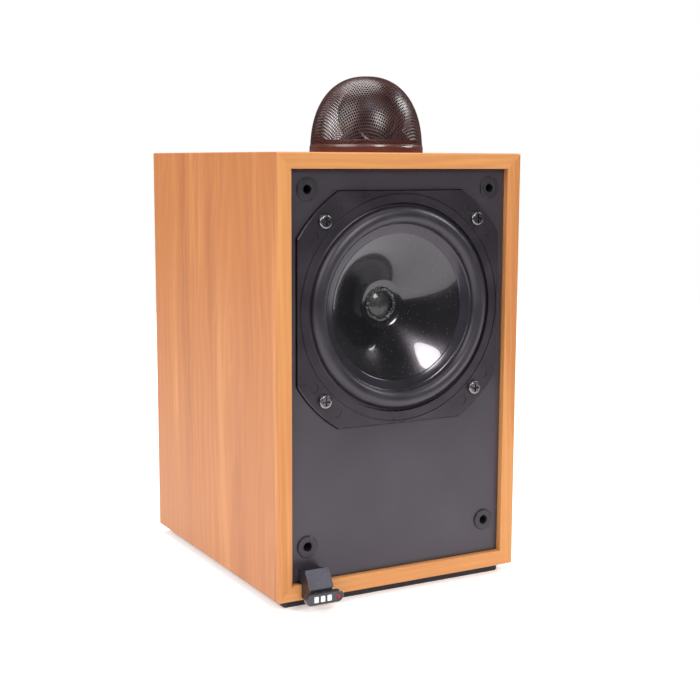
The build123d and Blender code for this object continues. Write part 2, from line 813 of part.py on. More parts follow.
def protection_relay():
    """The relay of the overload protection circuit."""
    relay = block((-8, 8), (16, 38), (CARD_TOP, CARD_TOP + 14))
    return fillet(relay.faces().sort_by(Axis.Z)[-1].edges(), 1.0)


def board_fixings():
    pieces = []
    base = FLOOR + BOARD
    for x, y in BOARD_FIXING:
        spacer = rod_z(3.0, x, y, base, base + SPACER_HEIGHT)
        pieces.append(spacer - rod_z(1.6, x, y, base, base + SPACER_HEIGHT))
        screw = rod_z(1.4, x, y, base - 8, CARD_TOP)
        pieces.append(screw + rod_z(2.8, x, y, CARD_TOP, CARD_TOP + 1.8))
    return group(pieces)


def damping_wadding():
    """Soft wadding that fills the cabinet behind the woofer."""
    wadding = block((-64, 64), (-15, 66), (132, 238))
    return fillet(wadding.edges(), 8)


def board_wires():
    """From the posts to the crossover, and from the crossover to the indicator."""
    wires = []
    post_end = CUP_FLOOR_Y - 8
    for x in (-POST_X, POST_X):
        route = [(x, post_end, CUP_Z), (x, 52, CUP_Z), (x, 52, CARD_TOP)]
        wires.append(lead(route, 5.0, 1.0))
    for side in (-1, 1):
        x = sum(BADGE_X) / 2 + side * 0.75
        route = [
            (x, FRONT + BAFFLE_FACE, FLOOR + 14),
            (x, FRONT + BAFFLE_BACK + 12, FLOOR + 14),
            (-34 + side * 0.75, -34, 40),
            (-34 + side * 0.75, -6, 40),
            (-34 + side * 0.75, -6, CARD_TOP),
        ]
        wires.append(lead(route, 4.0, 0.5))
    return group(wires)


def driver_wires():
    """From the crossover to the woofer's tags, and up through the top to the tweeter."""
    riser_x, terminal_z = 33.0, TWEETER_Z - 4
    wires = []
    for x in (-TAG_X, TAG_X):
        route = [(x, 0, CARD_TOP), (x, 0, 70), (x, TAG_Y, 92), (x, TAG_Y, STRIP_TOP - 5)]
        wires.append(lead(route, 12.0, 1.0))
    for side in (-1, 1):
        x = side * 1.5
        route = [
            (riser_x + x, -4, CARD_TOP),
            (riser_x + x, -4, 60),
            (riser_x + x, -20.5, 90),
            (riser_x + x, -20.5, 222),
            (x, GROMMET_Y, 236),
            (x, GROMMET_Y, terminal_z),
            (x, FRONT + TWEETER_BACK, terminal_z),
        ]
        wires.append(lead(route, [10, 10, 10, 5, 4], 1.0))
    return group(wires)


# ---------------------------------------------------------------- badge

def badge_bracket():
    """The carrier that hooks over the bottom lipping and holds the badge."""
    side = [
        (BAFFLE_FACE, FLOOR + 9.3),
        (BAFFLE_FACE, FLOOR + 16.6),
        (-4.6, FLOOR + 18.4),
        (BADGE_FRONT, FLOOR + 8.6),
        (BADGE_FRONT, FLOOR + 1.6),
        (-0.2, FLOOR + 1.6),
        (-0.2, FLOOR + 9.3),
    ]
    bracket = profile_across(side, (BADGE_X[0] + 0.4, BADGE_X[1] - 0.4))
    top = [edge for edge in bracket.edges() if edge.center().Z > FLOOR + 17]
    return chamfer(top, 0.4)


def badge_cover():
    """The sloping glossy cover on the carrier's front."""
    rise_y, rise_z = -6.2, -9.8
    length = math.hypot(rise_y, rise_z)
    out_y, out_z = rise_z / length * 1.2, -rise_y / length * 1.2
    high = (-4.6, FLOOR + 18.4)
    low = (BADGE_FRONT, FLOOR + 8.6)
    side = [high, low, (low[0] + out_y, low[1] + out_z), (high[0] + out_y, high[1] + out_z)]
    cover = profile_across(side, BADGE_X)
    face = cover.faces().sort_by(Axis.Y)[0]
    return chamfer(face.edges(), 0.3)


def pill(near, far, radius):
    """A bar with round ends, between two depths."""
    left, right = PLATE_ENDS
    plane = Plane(((left + right) / 2, FRONT + near, PLATE_Z), x_dir=(1, 0, 0), z_dir=(0, 1, 0))
    return extrude(plane * SlotCenterToCenter(right - left, radius * 2), far - near)


def badge_plate():
    plate = pill(PLATE_FRONT, BADGE_FRONT, PLATE_END_RADIUS)
    plate = chamfer(plate.faces().sort_by(Axis.Y)[0].edges(), 0.5)
    plate -= pill(PLATE_FRONT, PLATE_FRONT + 0.25, PLATE_END_RADIUS - 1.0)
    lens_x = PLATE_ENDS[1]
    return plate - rod_y(LENS_RADIUS + FIT_GAP, lens_x, PLATE_Z, FRONT + PLATE_FRONT, FRONT + BADGE_FRONT)


def badge_bars():
    """Three plain raised bars in place of any lettering."""
    width, height, pitch = 2.6, 3.4, 4.1
    near, far = PLATE_FRONT - 0.1, PLATE_FRONT + 0.25
    bars = []
    for index in range(3):
        middle = -64.6 + width / 2 + pitch * index
        bar = block(
            (middle - width / 2, middle + width / 2),
            (FRONT + near, FRONT + far),
            (PLATE_Z - height / 2, PLATE_Z + height / 2),
        )
        bars.append(fillet(bar.edges().filter_by(Axis.Y), 0.4))
    return group(bars)


def indicator_lens():
    lens = rod_y(LENS_RADIUS, PLATE_ENDS[1], PLATE_Z, FRONT + PLATE_FRONT - 0.5, FRONT + BADGE_FRONT)
    return fillet(lens.faces().sort_by(Axis.Y)[0].edges(), 0.9)


# ---------------------------------------------------------------- tweeter pod

def spun_about_pod(outline):
    """A closed outline of (radius, height above the cabinet) spun about the pod's upright axis."""
    face = Plane.XZ * make_face(outline)
    return Pos(0, POD_Y, TOP) * revolve(face, Axis.Z, 360)


def pod_profile(inset, low, steps=8):
    """Points up the pod's wall, from a height at its foot to its crown."""
    radius, height = POD_RADIUS - inset, POD_HEIGHT - inset
    start = math.asin(low / height)
    points = []
    for step in range(steps + 1):
        turn = start + (math.pi / 2 - start) * step / steps
        points.append(
            (
                radius * max(math.cos(turn), 0) ** (2 / POD_ROUNDNESS),
                height * math.sin(turn) ** (2 / POD_ROUNDNESS),
            )
        )
    points[-1] = (0, height)
    return points


def pod_mesh():
    """The perforated cap over the tweeter, as a plain shell."""
    outer = pod_profile(0, BAND_HEIGHT)
    inner = pod_profile(POD_WALL, BAND_HEIGHT)
    outline = [
        Spline(*outer, tangents=[(0, 1), (-1, 0)]),
        Line(outer[-1], inner[-1]),
        Spline(*inner, tangents=[(0, 1), (-1, 0)]),
        Line(inner[0], (inner[0][0], BAND_HEIGHT)),
        Line((inner[0][0], BAND_HEIGHT), (outer[0][0], BAND_HEIGHT)),
        Line((outer[0][0], BAND_HEIGHT), outer[0]),
    ]
    return spun_about_pod(outline)


def pod_base():
    """The moulded base: a band under the mesh and a raised floor cut for the tweeter."""
    soft = 0.8
    outline = [
        Line((0, 0), (BAND_RADIUS, 0)),
        Line((BAND_RADIUS, 0), (BAND_RADIUS, BAND_HEIGHT - soft)),
        ThreePointArc(
            (BAND_RADIUS, BAND_HEIGHT - soft),
            (BAND_RADIUS - soft * 0.293, BAND_HEIGHT - soft * 0.293),
            (BAND_RADIUS - soft, BAND_HEIGHT),
        ),
        Line((BAND_RADIUS - soft, BAND_HEIGHT), (PLINTH_RADIUS, BAND_HEIGHT)),
        Line((PLINTH_RADIUS, BAND_HEIGHT), (PLINTH_RADIUS, PLINTH_HEIGHT - soft)),
        Line((PLINTH_RADIUS, PLINTH_HEIGHT - soft), (PLINTH_RADIUS - soft, PLINTH_HEIGHT)),
        Line((PLINTH_RADIUS - soft, PLINTH_HEIGHT), (0, PLINTH_HEIGHT)),
        Line((0, PLINTH_HEIGHT), (0, 0)),
    ]
    base = spun_about_pod(outline)
    trough = TWEETER_RADIUS + 0.3
    base -= rod_y(trough, 0, TWEETER_Z, FRONT + TWEETER_FACE - 0.5, FRONT + TWEETER_BACK + 1)
    near, far = CRADLE_DEPTHS
    base -= rod_y(CRADLE_RADIUS + FIT_GAP, 0, TWEETER_Z, FRONT + near, FRONT + far)
    for x in (-POD_BOLT_X, POD_BOLT_X):
        base -= rod_z(2.05, x, POD_Y, TOP, TOP + 6)
    return base - rod_z(3.05, 0, GROMMET_Y, TOP, TOP + PLINTH_HEIGHT)


def tweeter_cradle():
    """A rubber saddle that carries the tweeter's front end."""
    near, far = CRADLE_DEPTHS
    shoulder, foot, rise = 17.0, 22.0, 12.4
    points = [
        (-foot, PLINTH_HEIGHT),
        (-shoulder, rise),
        (shoulder, rise),
        (foot, PLINTH_HEIGHT),
    ]
    plane = Plane((0, FRONT + near, TOP), x_dir=(1, 0, 0), z_dir=(0, -1, 0))
    saddle = extrude(plane * make_face(Polyline(*points, close=True)), near - far)
    strap = rod_y(CRADLE_RADIUS, 0, TWEETER_Z, FRONT + near, FRONT + far)
    strap &= block((-foot, foot), (FRONT + near, FRONT + far), (TOP, TOP + PLINTH_HEIGHT))
    return saddle + strap - rod_y(
        TWEETER_RADIUS + FIT_GAP, 0, TWEETER_Z, FRONT + near, FRONT + far
    )


def tweeter_housing():
    wall, back = 1.2, 1.5
    cup = rod_y(TWEETER_RADIUS, 0, TWEETER_Z, FRONT + PLATE_BACK, FRONT + TWEETER_BACK)
    cup = fillet(cup.faces().sort_by(Axis.Y)[-1].edges(), 3.0)
    hollow = rod_y(
        TWEETER_RADIUS - wall, 0, TWEETER_Z, FRONT + PLATE_BACK, FRONT + TWEETER_BACK - back
    )
    return cup - fillet(hollow.faces().sort_by(Axis.Y)[-1].edges(), 2.0)


def tweeter_faceplate():
    outline = [
        (14.4, 31.0),
        (14.9, 29.6),
        (16.6, TWEETER_FACE),
        (TWEETER_RADIUS - 0.4, TWEETER_FACE),
        (TWEETER_RADIUS, TWEETER_FACE + 0.4),
        (TWEETER_RADIUS, PLATE_BACK),
        (15.7, PLATE_BACK),
        (15.7, 31.6),
        (14.4, 31.6),
    ]
    return turned_points(outline, 0, TWEETER_Z)


def tweeter_dome():
    return thin_cap(DOME_RADIUS, DOME_BASE, DOME_BASE - DOME_TIP, 0.4, TWEETER_Z)


def tweeter_surround():
    """A small half-roll of doped cloth round the dome."""
    inner, outer, rim, wall = DOME_RADIUS + 0.1, 14.3, 15.5, 0.35
    base = DOME_BASE - 0.1
    middle, radius = (inner + outer) / 2, (outer - inner) / 2
    thin = radius - wall
    outline = [
        ThreePointArc((inner, base - wall), (middle, base - wall - radius), (outer, base - wall)),
        Line((outer, base - wall), (rim, base - wall)),
        Line((rim, base - wall), (rim, base)),
        Line((rim, base), (outer - wall, base)),
        Line((outer - wall, base), (outer - wall, base - wall)),
        ThreePointArc(
            (outer - wall, base - wall), (middle, base - wall - thin), (inner + wall, base - wall)
        ),
        Line((inner + wall, base - wall), (inner + wall, base)),
        Line((inner + wall, base), (inner, base)),
        Line((inner, base), (inner, base - wall)),
    ]
    return turned(outline, 0, TWEETER_Z)


def tweeter_coil():
    return ring(11.9, 12.5, DOME_BASE, 39.0, 0, TWEETER_Z)


def tweeter_motor():
    """Top plate, ring magnet and yoke with its pole."""
    top = ring(12.9, 16.2, 33.0, 36.0, 0, TWEETER_Z)
    magnet = ring(13.5, 16.0, 36.0, 43.0, 0, TWEETER_Z)
    yoke = rod_y(16.0, 0, TWEETER_Z, FRONT + 43.0, FRONT + 46.0)
    yoke += rod_y(11.5, 0, TWEETER_Z, FRONT + 33.0, FRONT + 43.0)
    return group([top, magnet, yoke])


def pod_fixings():
    """Two bolts and washers that hold the pod from inside the cabinet."""
    under = TOP - BOARD
    pieces = []
    for x in (-POD_BOLT_X, POD_BOLT_X):
        washer = rod_z(5.0, x, POD_Y, under - 1, under)
        pieces.append(washer - rod_z(2.2, x, POD_Y, under - 1, under))
        bolt = rod_z(2.0, x, POD_Y, under - 1, TOP + 5.5)
        pieces.append(bolt + rod_z(3.5, x, POD_Y, under - 4, under - 1))
    return group(pieces)


def wire_grommet():
    """A rubber bush where the tweeter's wires pass through the top."""
    bush = rod_z(4.0, 0, GROMMET_Y, TOP - BOARD - 1.5, TOP)
    bush += rod_z(6.0, 0, GROMMET_Y, TOP - BOARD - 1.5, TOP - BOARD)
    return bush - rod_z(2.9, 0, GROMMET_Y, TOP - BOARD - 1.5, TOP)


# ---------------------------------------------------------------- all pieces

def all_pieces():
    pieces = {f"panel_{side}": panel for side, panel in wrapped_panels().items()}
    pieces["panel_back"] = back_panel()
    pieces.update({f"edging_{side}": edge for side, edge in lippings().items()})
    makers = [
        front_baffle,
        base_plinth,
        grille_sockets,
        woofer_frame,
        woofer_gasket,
        woofer_screws,
        woofer_surround,
        woofer_cone,
        dust_cap,
        glue_ring,
        coil_former,
        woofer_coil,
        spider,
        woofer_top_plate,
        woofer_magnet,
        woofer_pole_plate,
        woofer_tag_strip,
        tinsel_leads,
        terminal_cup,
        terminal_screws,
        terminal_posts,
        post_nuts,
        crossover_board,
        crossover_coils,
        crossover_capacitors,
        crossover_resistors,
        protection_relay,
        board_fixings,
        damping_wadding,
        board_wires,
        driver_wires,
        badge_bracket,
        badge_cover,
        badge_plate,
        badge_bars,
        indicator_lens,
        pod_base,
        pod_mesh,
        tweeter_cradle,
        tweeter_housing,
        tweeter_faceplate,
        tweeter_dome,
        tweeter_surround,
        tweeter_coil,
        tweeter_motor,
        pod_fixings,
        wire_grommet,
    ]
    for maker in makers:
        pieces[maker.__name__] = maker()
    for colour, x in (("red", POST_X), ("black", -POST_X)):
        pieces[f"{colour}_insert"] = knob_insert(x)
        pieces[f"{colour}_knob"] = terminal_knob(x)
    return pieces


for name, piece in all_pieces().items():
    export_step(piece, f"parts/{name}.step")
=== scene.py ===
import bisect
import math

import bpy
from mathutils import Matrix, Vector, noise


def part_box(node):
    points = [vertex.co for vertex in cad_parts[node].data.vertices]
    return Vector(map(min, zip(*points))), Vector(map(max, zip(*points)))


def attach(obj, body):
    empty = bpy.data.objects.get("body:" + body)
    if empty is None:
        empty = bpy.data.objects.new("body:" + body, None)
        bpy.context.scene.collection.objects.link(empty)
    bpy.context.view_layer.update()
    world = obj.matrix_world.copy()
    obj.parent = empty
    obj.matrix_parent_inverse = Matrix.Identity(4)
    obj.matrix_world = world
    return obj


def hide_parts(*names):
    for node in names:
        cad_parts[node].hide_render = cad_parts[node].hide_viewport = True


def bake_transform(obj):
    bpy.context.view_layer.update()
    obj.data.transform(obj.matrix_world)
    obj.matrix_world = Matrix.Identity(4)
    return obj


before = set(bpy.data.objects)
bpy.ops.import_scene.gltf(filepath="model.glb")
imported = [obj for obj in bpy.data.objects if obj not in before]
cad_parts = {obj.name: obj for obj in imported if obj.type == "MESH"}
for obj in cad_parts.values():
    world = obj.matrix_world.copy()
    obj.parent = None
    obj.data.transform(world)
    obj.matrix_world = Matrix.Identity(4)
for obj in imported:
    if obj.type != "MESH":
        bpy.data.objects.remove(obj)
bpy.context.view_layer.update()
bpy.ops.object.select_all(action="DESELECT")

MM = 0.001


# ================================================================ places, read from the frame

def middle(node):
    low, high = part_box(node)
    return (low + high) / 2


def half_width(node):
    low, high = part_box(node)
    return (high.x - low.x) / 2


WOOFER = middle("woofer_cone")
POD = middle("pod_base")
TWEETER = middle("tweeter_faceplate")
CABINET_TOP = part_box("panel_top")[1].z

# ---- woofer ----
CONE_RADIUS = half_width("woofer_cone")
CONE_RIM_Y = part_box("woofer_cone")[0].y
APEX_BACK_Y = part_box("woofer_cone")[1].y
CONE_CURVE = 1.25
FORMER_RADIUS = half_width("coil_former")
NECK_RADIUS = FORMER_RADIUS + 0.5 * MM
NECK_Y = APEX_BACK_Y - 1.1 * MM
CAP_RADIUS = half_width("dust_cap")
CAP_BASE_Y = APEX_BACK_Y - 0.7 * MM
CAP_TIP_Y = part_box("dust_cap")[0].y
GLUE_RADIUS = half_width("glue_ring")
CONE_SKIN = 0.68 * MM
CAP_SKIN = 0.3 * MM
CAP_INSET = 0.05 * MM
EDGE_RADIUS = half_width("woofer_surround")
ROLL_CENTRE = 53 * MM
ROLL_RADIUS = 4.6 * MM
ROLL_WALL = 0.8 * MM
EDGE_SEAT_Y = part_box("woofer_surround")[0].y + ROLL_RADIUS + ROLL_WALL / 2
LAND_RADIUS = 43 * MM
LAND_GAP = ROLL_WALL * 0.62
SPIDER_RADIUS = half_width("spider")
SPIDER_Y = middle("spider").y
LEAD_RADIUS = 0.55 * MM

# ---- tweeter pod ----
CAP_FOOT_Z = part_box("pod_mesh")[0].z
CAP_CROWN_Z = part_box("pod_mesh")[1].z
POD_RADIUS = 33 * MM
POD_HEIGHT = CAP_CROWN_Z - CABINET_TOP
POD_ROUNDNESS = 2.3
SHEET_THICKNESS = 0.28 * MM
HOLE_PITCH = 1.62 * MM
HOLE_RADIUS = 0.72 * MM
HEM_HEIGHT = 0.7 * MM
DOME_EDGE_RADIUS = half_width("tweeter_surround")


def cone_y(radius):
    """Where the cone's front face lies at a radius: flat at the rim, steep at the neck."""
    share = (CONE_RADIUS - radius) / (CONE_RADIUS - NECK_RADIUS)
    return CONE_RIM_Y + (NECK_Y - CONE_RIM_Y) * share**CONE_CURVE


# ================================================================ how pieces are modelled

def begin_piece(name, first_point):
    """One corner in edit mode, ready to be extruded; the object itself stays at the origin."""
    bpy.ops.object.select_all(action="DESELECT")
    bpy.ops.mesh.primitive_plane_add(size=MM, location=first_point)
    piece = bpy.context.object
    piece.name = name
    piece.data.name = name
    bpy.ops.object.transform_apply(location=True)
    bpy.ops.object.mode_set(mode="EDIT")
    bpy.ops.mesh.select_all(action="SELECT")
    bpy.ops.mesh.merge(type="CENTER")
    return piece


def draw_line(points):
    """Extrudes the selected corner from point to point."""
    for here, there in zip(points, points[1:]):
        bpy.ops.mesh.extrude_region_move(TRANSFORM_OT_translate={"value": there - here})


def spin_round(centre, axis, steps):
    """Spins the drawn line once round an axis and closes the seam and the poles."""
    bpy.ops.mesh.select_all(action="SELECT")
    bpy.ops.mesh.spin(steps=steps, angle=2 * math.pi, center=centre, axis=axis)
    bpy.ops.mesh.select_all(action="SELECT")
    bpy.ops.mesh.remove_doubles(threshold=0.002 * MM)
    bpy.ops.mesh.normals_make_consistent(inside=False)
    bpy.ops.object.mode_set(mode="OBJECT")


def facing_piece(name, outline, centre, steps=120):
    """A piece turned on an axis along Y, from (radius, y) points."""
    points = [Vector((centre.x + radius, y, centre.z)) for radius, y in outline]
    piece = begin_piece(name, points[0])
    draw_line(points)
    spin_round((centre.x, 0, centre.z), (0, 1, 0), steps)
    return piece


def upright_piece(name, outline, centre, steps=120):
    """A piece turned on an upright axis, from (radius, z) points."""
    points = [Vector((centre.x + radius, centre.y, z)) for radius, z in outline]
    piece = begin_piece(name, points[0])
    draw_line(points)
    spin_round((centre.x, centre.y, 0), (0, 0, 1), steps)
    return piece


def use_modifier(piece, kind, **settings):
    """Adds a modifier with these settings and applies it."""
    bpy.ops.object.select_all(action="DESELECT")
    bpy.context.view_layer.objects.active = piece
    piece.select_set(True)
    modifier = piece.modifiers.new(kind.lower(), kind)
    for setting, value in settings.items():
        setattr(modifier, setting, value)
    bpy.ops.object.modifier_apply(modifier=modifier.name)


def smooth(piece, angle=40):
    bpy.ops.object.select_all(action="DESELECT")
    bpy.context.view_layer.objects.active = piece
    piece.select_set(True)
    bpy.ops.object.shade_smooth_by_angle(angle=math.radians(angle))


def finish_with(piece, material):
    piece.data.materials.clear()
    piece.data.materials.append(material)


def arc(centre, radius, start, end, steps):
    """(across, along) points round part of a circle; the angles are in degrees."""
    points = []
    for step in range(steps + 1):
        turn = math.radians(start + (end - start) * step / steps)
        points.append((centre[0] + radius * math.cos(turn), centre[1] + radius * math.sin(turn)))
    return points


def cap_outline(radius, base_y, tip_y, steps=12):
    """A spherical cap's section, from its rim to its crown, standing forward of its base."""
    rise = base_y - tip_y
    sphere = (radius**2 + rise**2) / (2 * rise)
    half_turn = math.asin(radius / sphere)
    points = []
    for step in range(steps + 1):
        turn = half_turn * (1 - step / steps)
        points.append((sphere * math.sin(turn), tip_y + sphere * (1 - math.cos(turn))))
    return points


def roughen(piece, amount, grain):
    """Moves every point along its normal by a smooth, lumpy amount."""
    normals = [vertex.normal.copy() for vertex in piece.data.vertices]
    for vertex, normal in zip(piece.data.vertices, normals):
        vertex.co += normal * noise.noise(vertex.co / grain) * amount


def share_by_radius(piece, centre, still_radius, moving_radius):
    """Works out how far each point would follow the second body, from its distance to an axis along Y;
    the share is not kept.
    """
    for vertex in piece.data.vertices:
        offset = vertex.co - centre
        radius = math.hypot(offset.x, offset.z)
        share = (still_radius - radius) / (still_radius - moving_radius)
        share = min(max(share, 0), 1)


# ================================================================ how finishes are mixed

def new_finish(name, **sockets):
    """A material, its node tree and its shader, with these values on the shader's sockets."""
    material = bpy.data.materials.new(name)
    material.use_nodes = True
    tree = material.node_tree
    shader = tree.nodes["Principled BSDF"]
    for socket, value in sockets.items():
        shader.inputs[socket.replace("_", " ")].default_value = value
    return material, tree, shader


def add_node(tree, kind, inputs=(), **settings):
    """A node; its inputs are (name or number, value or another node's output) pairs."""
    made = tree.nodes.new(kind)
    for setting, value in settings.items():
        setattr(made, setting, value)
    for socket, value in inputs:
        if isinstance(value, bpy.types.NodeSocket):
            tree.links.new(value, made.inputs[socket])
        else:
            made.inputs[socket].default_value = value
    return made


def on_object(tree):
    return tree.nodes.new("ShaderNodeTexCoord").outputs["Object"]


def placed(tree, where, scale=(1, 1, 1), turn=(0, 0, 0), move=(0, 0, 0)):
    turn = [math.radians(angle) for angle in turn]
    inputs = [("Vector", where), ("Scale", scale), ("Rotation", turn), ("Location", move)]
    return add_node(tree, "ShaderNodeMapping", inputs).outputs["Vector"]


def cloudy(tree, where, scale, detail=3, rough=0.5):
    inputs = [("Vector", where), ("Scale", scale), ("Detail", detail), ("Roughness", rough)]
    return add_node(tree, "ShaderNodeTexNoise", inputs).outputs["Fac"]


def spots(tree, where, scale, feature="F1"):
    inputs = [("Vector", where), ("Scale", scale)]
    return add_node(tree, "ShaderNodeTexVoronoi", inputs, feature=feature).outputs["Distance"]


def bands(tree, where, scale, kind="BANDS", direction="Z"):
    settings = {"wave_type": kind}
    settings["bands_direction" if kind == "BANDS" else "rings_direction"] = direction
    inputs = [("Vector", where), ("Scale", scale)]
    return add_node(tree, "ShaderNodeTexWave", inputs, **settings).outputs["Fac"]


def ranged(tree, value, low, high, to_low, to_high):
    inputs = [(0, value), (1, low), (2, high), (3, to_low), (4, to_high)]
    return add_node(tree, "ShaderNodeMapRange", inputs, clamp=True).outputs[0]


def sums(tree, operation, first, second):
    inputs = [(0, first), (1, second)]
    return add_node(tree, "ShaderNodeMath", inputs, operation=operation).outputs[0]


def along(tree, where, axis):
    return add_node(tree, "ShaderNodeSeparateXYZ", [(0, where)]).outputs[axis]


def toned(tree, value, *stops):
    """A colour that runs through (position, colour) stops as the value rises."""
    ramp = add_node(tree, "ShaderNodeValToRGB", [("Fac", value)])
    elements = ramp.color_ramp.elements
    while len(elements) < len(stops):
        elements.new(0.5)
    for element, (position, colour) in zip(elements, stops):
        element.position = position
        element.color = (*colour, 1)
    return ramp.outputs["Color"]


def mixed(tree, share, under, over):
    made = add_node(tree, "ShaderNodeMix", data_type="RGBA")
    for socket, value in ((0, share), (6, under), (7, over)):
        if isinstance(value, bpy.types.NodeSocket):
            tree.links.new(value, made.inputs[socket])
        elif socket == 0:
            made.inputs[socket].default_value = value
        else:
            made.inputs[socket].default_value = (*value, 1)
    return made.outputs[2]


def relief(tree, shader, *layers):
    """Bump layers of (height, depth in metres), one over the other."""
    below = None
    for height, depth in layers:
        inputs = [("Strength", 1.0), ("Distance", depth), ("Height", height)]
        if below is not None:
            inputs.append(("Normal", below))
        below = add_node(tree, "ShaderNodeBump", inputs).outputs["Normal"]
    tree.links.new(below, shader.inputs["Normal"])


def colour_with(tree, shader, colour):
    tree.links.new(colour, shader.inputs["Base Color"])


def gloss_with(tree, shader, roughness):
    tree.links.new(roughness, shader.inputs["Roughness"])


# ================================================================ shared colours, wood

VENEER_LIGHT = (0.620, 0.270, 0.092)
VENEER_MID = (0.500, 0.190, 0.064)
VENEER_DARK = (0.425, 0.155, 0.056)
VENEER_PINK = (0.500, 0.215, 0.105)
LIPPING_LIGHT = (0.740, 0.350, 0.120)
LIPPING_DARK = (0.500, 0.190, 0.062)
BLACK_SHEEN = (1.0, 0.90, 1.0, 1)


def cherry_wood(name, grain_turn, heart, tilt, ring_scale, tones, flame):
    """Lacquered cherry: growth rings about a leaning heart, broad streaks, fibres and pores."""
    material, tree, shader = new_finish(name, Specular_IOR_Level=0.25)
    light, mid, dark = tones
    where = placed(tree, on_object(tree), turn=grain_turn)
    wander = cloudy(tree, placed(tree, where, scale=(1, 1, 0.24)), 42, 3)
    sway = ranged(tree, wander, 0.2, 0.8, -9 * MM, 9 * MM)
    leaning = placed(tree, where, turn=(0, tilt, 0), move=heart)
    bent = add_node(tree, "ShaderNodeVectorMath", [(0, leaning), (1, sway)]).outputs[0]
    rings = bands(tree, bent, ring_scale, kind="RINGS", direction="Z")
    streaks = cloudy(tree, placed(tree, where, scale=(1, 1, 0.07)), 60, 3)
    fibres = cloudy(tree, placed(tree, where, scale=(1, 1, 0.012)), 1300, 2)
    pores = cloudy(tree, placed(tree, where, scale=(1, 1, 0.05)), 3000, 2)
    patches = cloudy(tree, placed(tree, where, scale=(1, 1, 0.3)), 30, 2)
    base = toned(tree, streaks, (0.32, dark), (0.48, mid), (0.56, mid), (0.70, light))
    shown = sums(tree, "MULTIPLY", ranged(tree, rings, 0.62, 0.98, 0, flame),
                 ranged(tree, patches, 0.36, 0.6, 0.15, 1))
    base = mixed(tree, shown, base, light)
    base = mixed(tree, ranged(tree, rings, 0.0, 0.3, flame * 0.45, 0), base, dark)
    base = mixed(tree, ranged(tree, fibres, 0.40, 0.75, 0.0, 0.30), base, dark)
    base = mixed(tree, ranged(tree, pores, 0.66, 0.80, 0.0, 0.35), base, dark)
    colour_with(tree, shader, base)
    gloss_with(tree, shader, ranged(tree, fibres, 0.2, 0.8, 0.44, 0.56))
    relief(tree, shader, (fibres, 0.02 * MM), (pores, 0.015 * MM))
    return material, tree, shader, base


def veneer_finish(name, grain_turn, heart):
    """Veneer, paler and pinker towards the cabinet's foot."""
    tones = (VENEER_LIGHT, VENEER_MID, VENEER_DARK)
    material, tree, shader, base = cherry_wood(name, grain_turn, heart, 8, 40, tones, 0.34)
    height = along(tree, on_object(tree), "Z")
    patchy = cloudy(tree, on_object(tree), 9, 2)
    rise = ranged(tree, height, 0, CABINET_TOP * 0.75, 0.5, 0.0)
    share = sums(tree, "ADD", rise, ranged(tree, patchy, 0.3, 0.7, -0.16, 0.16))
    colour_with(tree, shader, mixed(tree, ranged(tree, share, 0, 1, 0, 0.8), base, VENEER_PINK))
    return material


def lipping_finish(name, grain_turn, heart):
    """The solid edging, yellower than the veneer, with straighter grain; veneer laps its sides."""
    mid = [(a + b) / 2 for a, b in zip(LIPPING_LIGHT, LIPPING_DARK)]
    tones = (LIPPING_LIGHT, mid, LIPPING_DARK)
    material, tree, shader, base = cherry_wood(name, grain_turn, heart, 1.6, 110, tones, 0.30)
    place = on_object(tree)
    half = half_width("panel_top")
    skin = 0.5 * MM
    across = add_node(tree, "ShaderNodeMath", [(0, along(tree, place, "X"))], operation="ABSOLUTE")
    beside = ranged(tree, across.outputs[0], half - skin, half - skin / 2, 0, 1)
    above = ranged(tree, along(tree, place, "Z"), CABINET_TOP - skin, CABINET_TOP - skin / 2, 0, 1)
    lapped = sums(tree, "MAXIMUM", beside, above)
    turned = placed(tree, place, turn=grain_turn)
    fibres = cloudy(tree, placed(tree, turned, scale=(1, 1, 0.04)), 240, 3)
    veneer = toned(tree, fibres, (0.3, VENEER_DARK), (0.7, VENEER_LIGHT))
    colour_with(tree, shader, mixed(tree, lapped, base, veneer))
    return material


# ================================================================ black parts of the box

def satin_paint(name, colour, roughness):
    """Sprayed satin paint on board, with faint orange peel and a little dust."""
    material, tree, shader = new_finish(name, Specular_Tint=BLACK_SHEEN)
    where = on_object(tree)
    peel = cloudy(tree, where, 420, 3)
    broad = cloudy(tree, where, 22, 2)
    dust = ranged(tree, spots(tree, where, 260), 0.0, 0.055, 1, 0)
    pale = [channel * 1.3 + 0.004 for channel in colour]
    base = toned(tree, broad, (0.3, colour), (0.7, pale))
    colour_with(tree, shader, mixed(tree, sums(tree, "MULTIPLY", dust, 0.35), base, (0.2, 0.2, 0.2)))
    gloss_with(tree, shader, ranged(tree, broad, 0.3, 0.7, roughness - 0.03, roughness + 0.04))
    relief(tree, shader, (peel, 0.012 * MM))
    return material


def moulded_plastic(name, colour, roughness, grain=900, depth=0.01):
    """Moulded plastic with a fine sparked texture, dulled unevenly by handling."""
    material, tree, shader = new_finish(name, Specular_Tint=BLACK_SHEEN)
    where = on_object(tree)
    texture = cloudy(tree, where, grain, 3)
    handling = cloudy(tree, where, 45, 4)
    dark = [channel * 0.75 for channel in colour]
    pale = [channel * 1.3 + 0.003 for channel in colour]
    colour_with(tree, shader, toned(tree, handling, (0.3, dark), (0.5, colour), (0.75, pale)))
    gloss_with(tree, shader, ranged(tree, handling, 0.3, 0.7, roughness * 0.85, roughness * 1.2))
    relief(tree, shader, (texture, depth * MM))
    return material


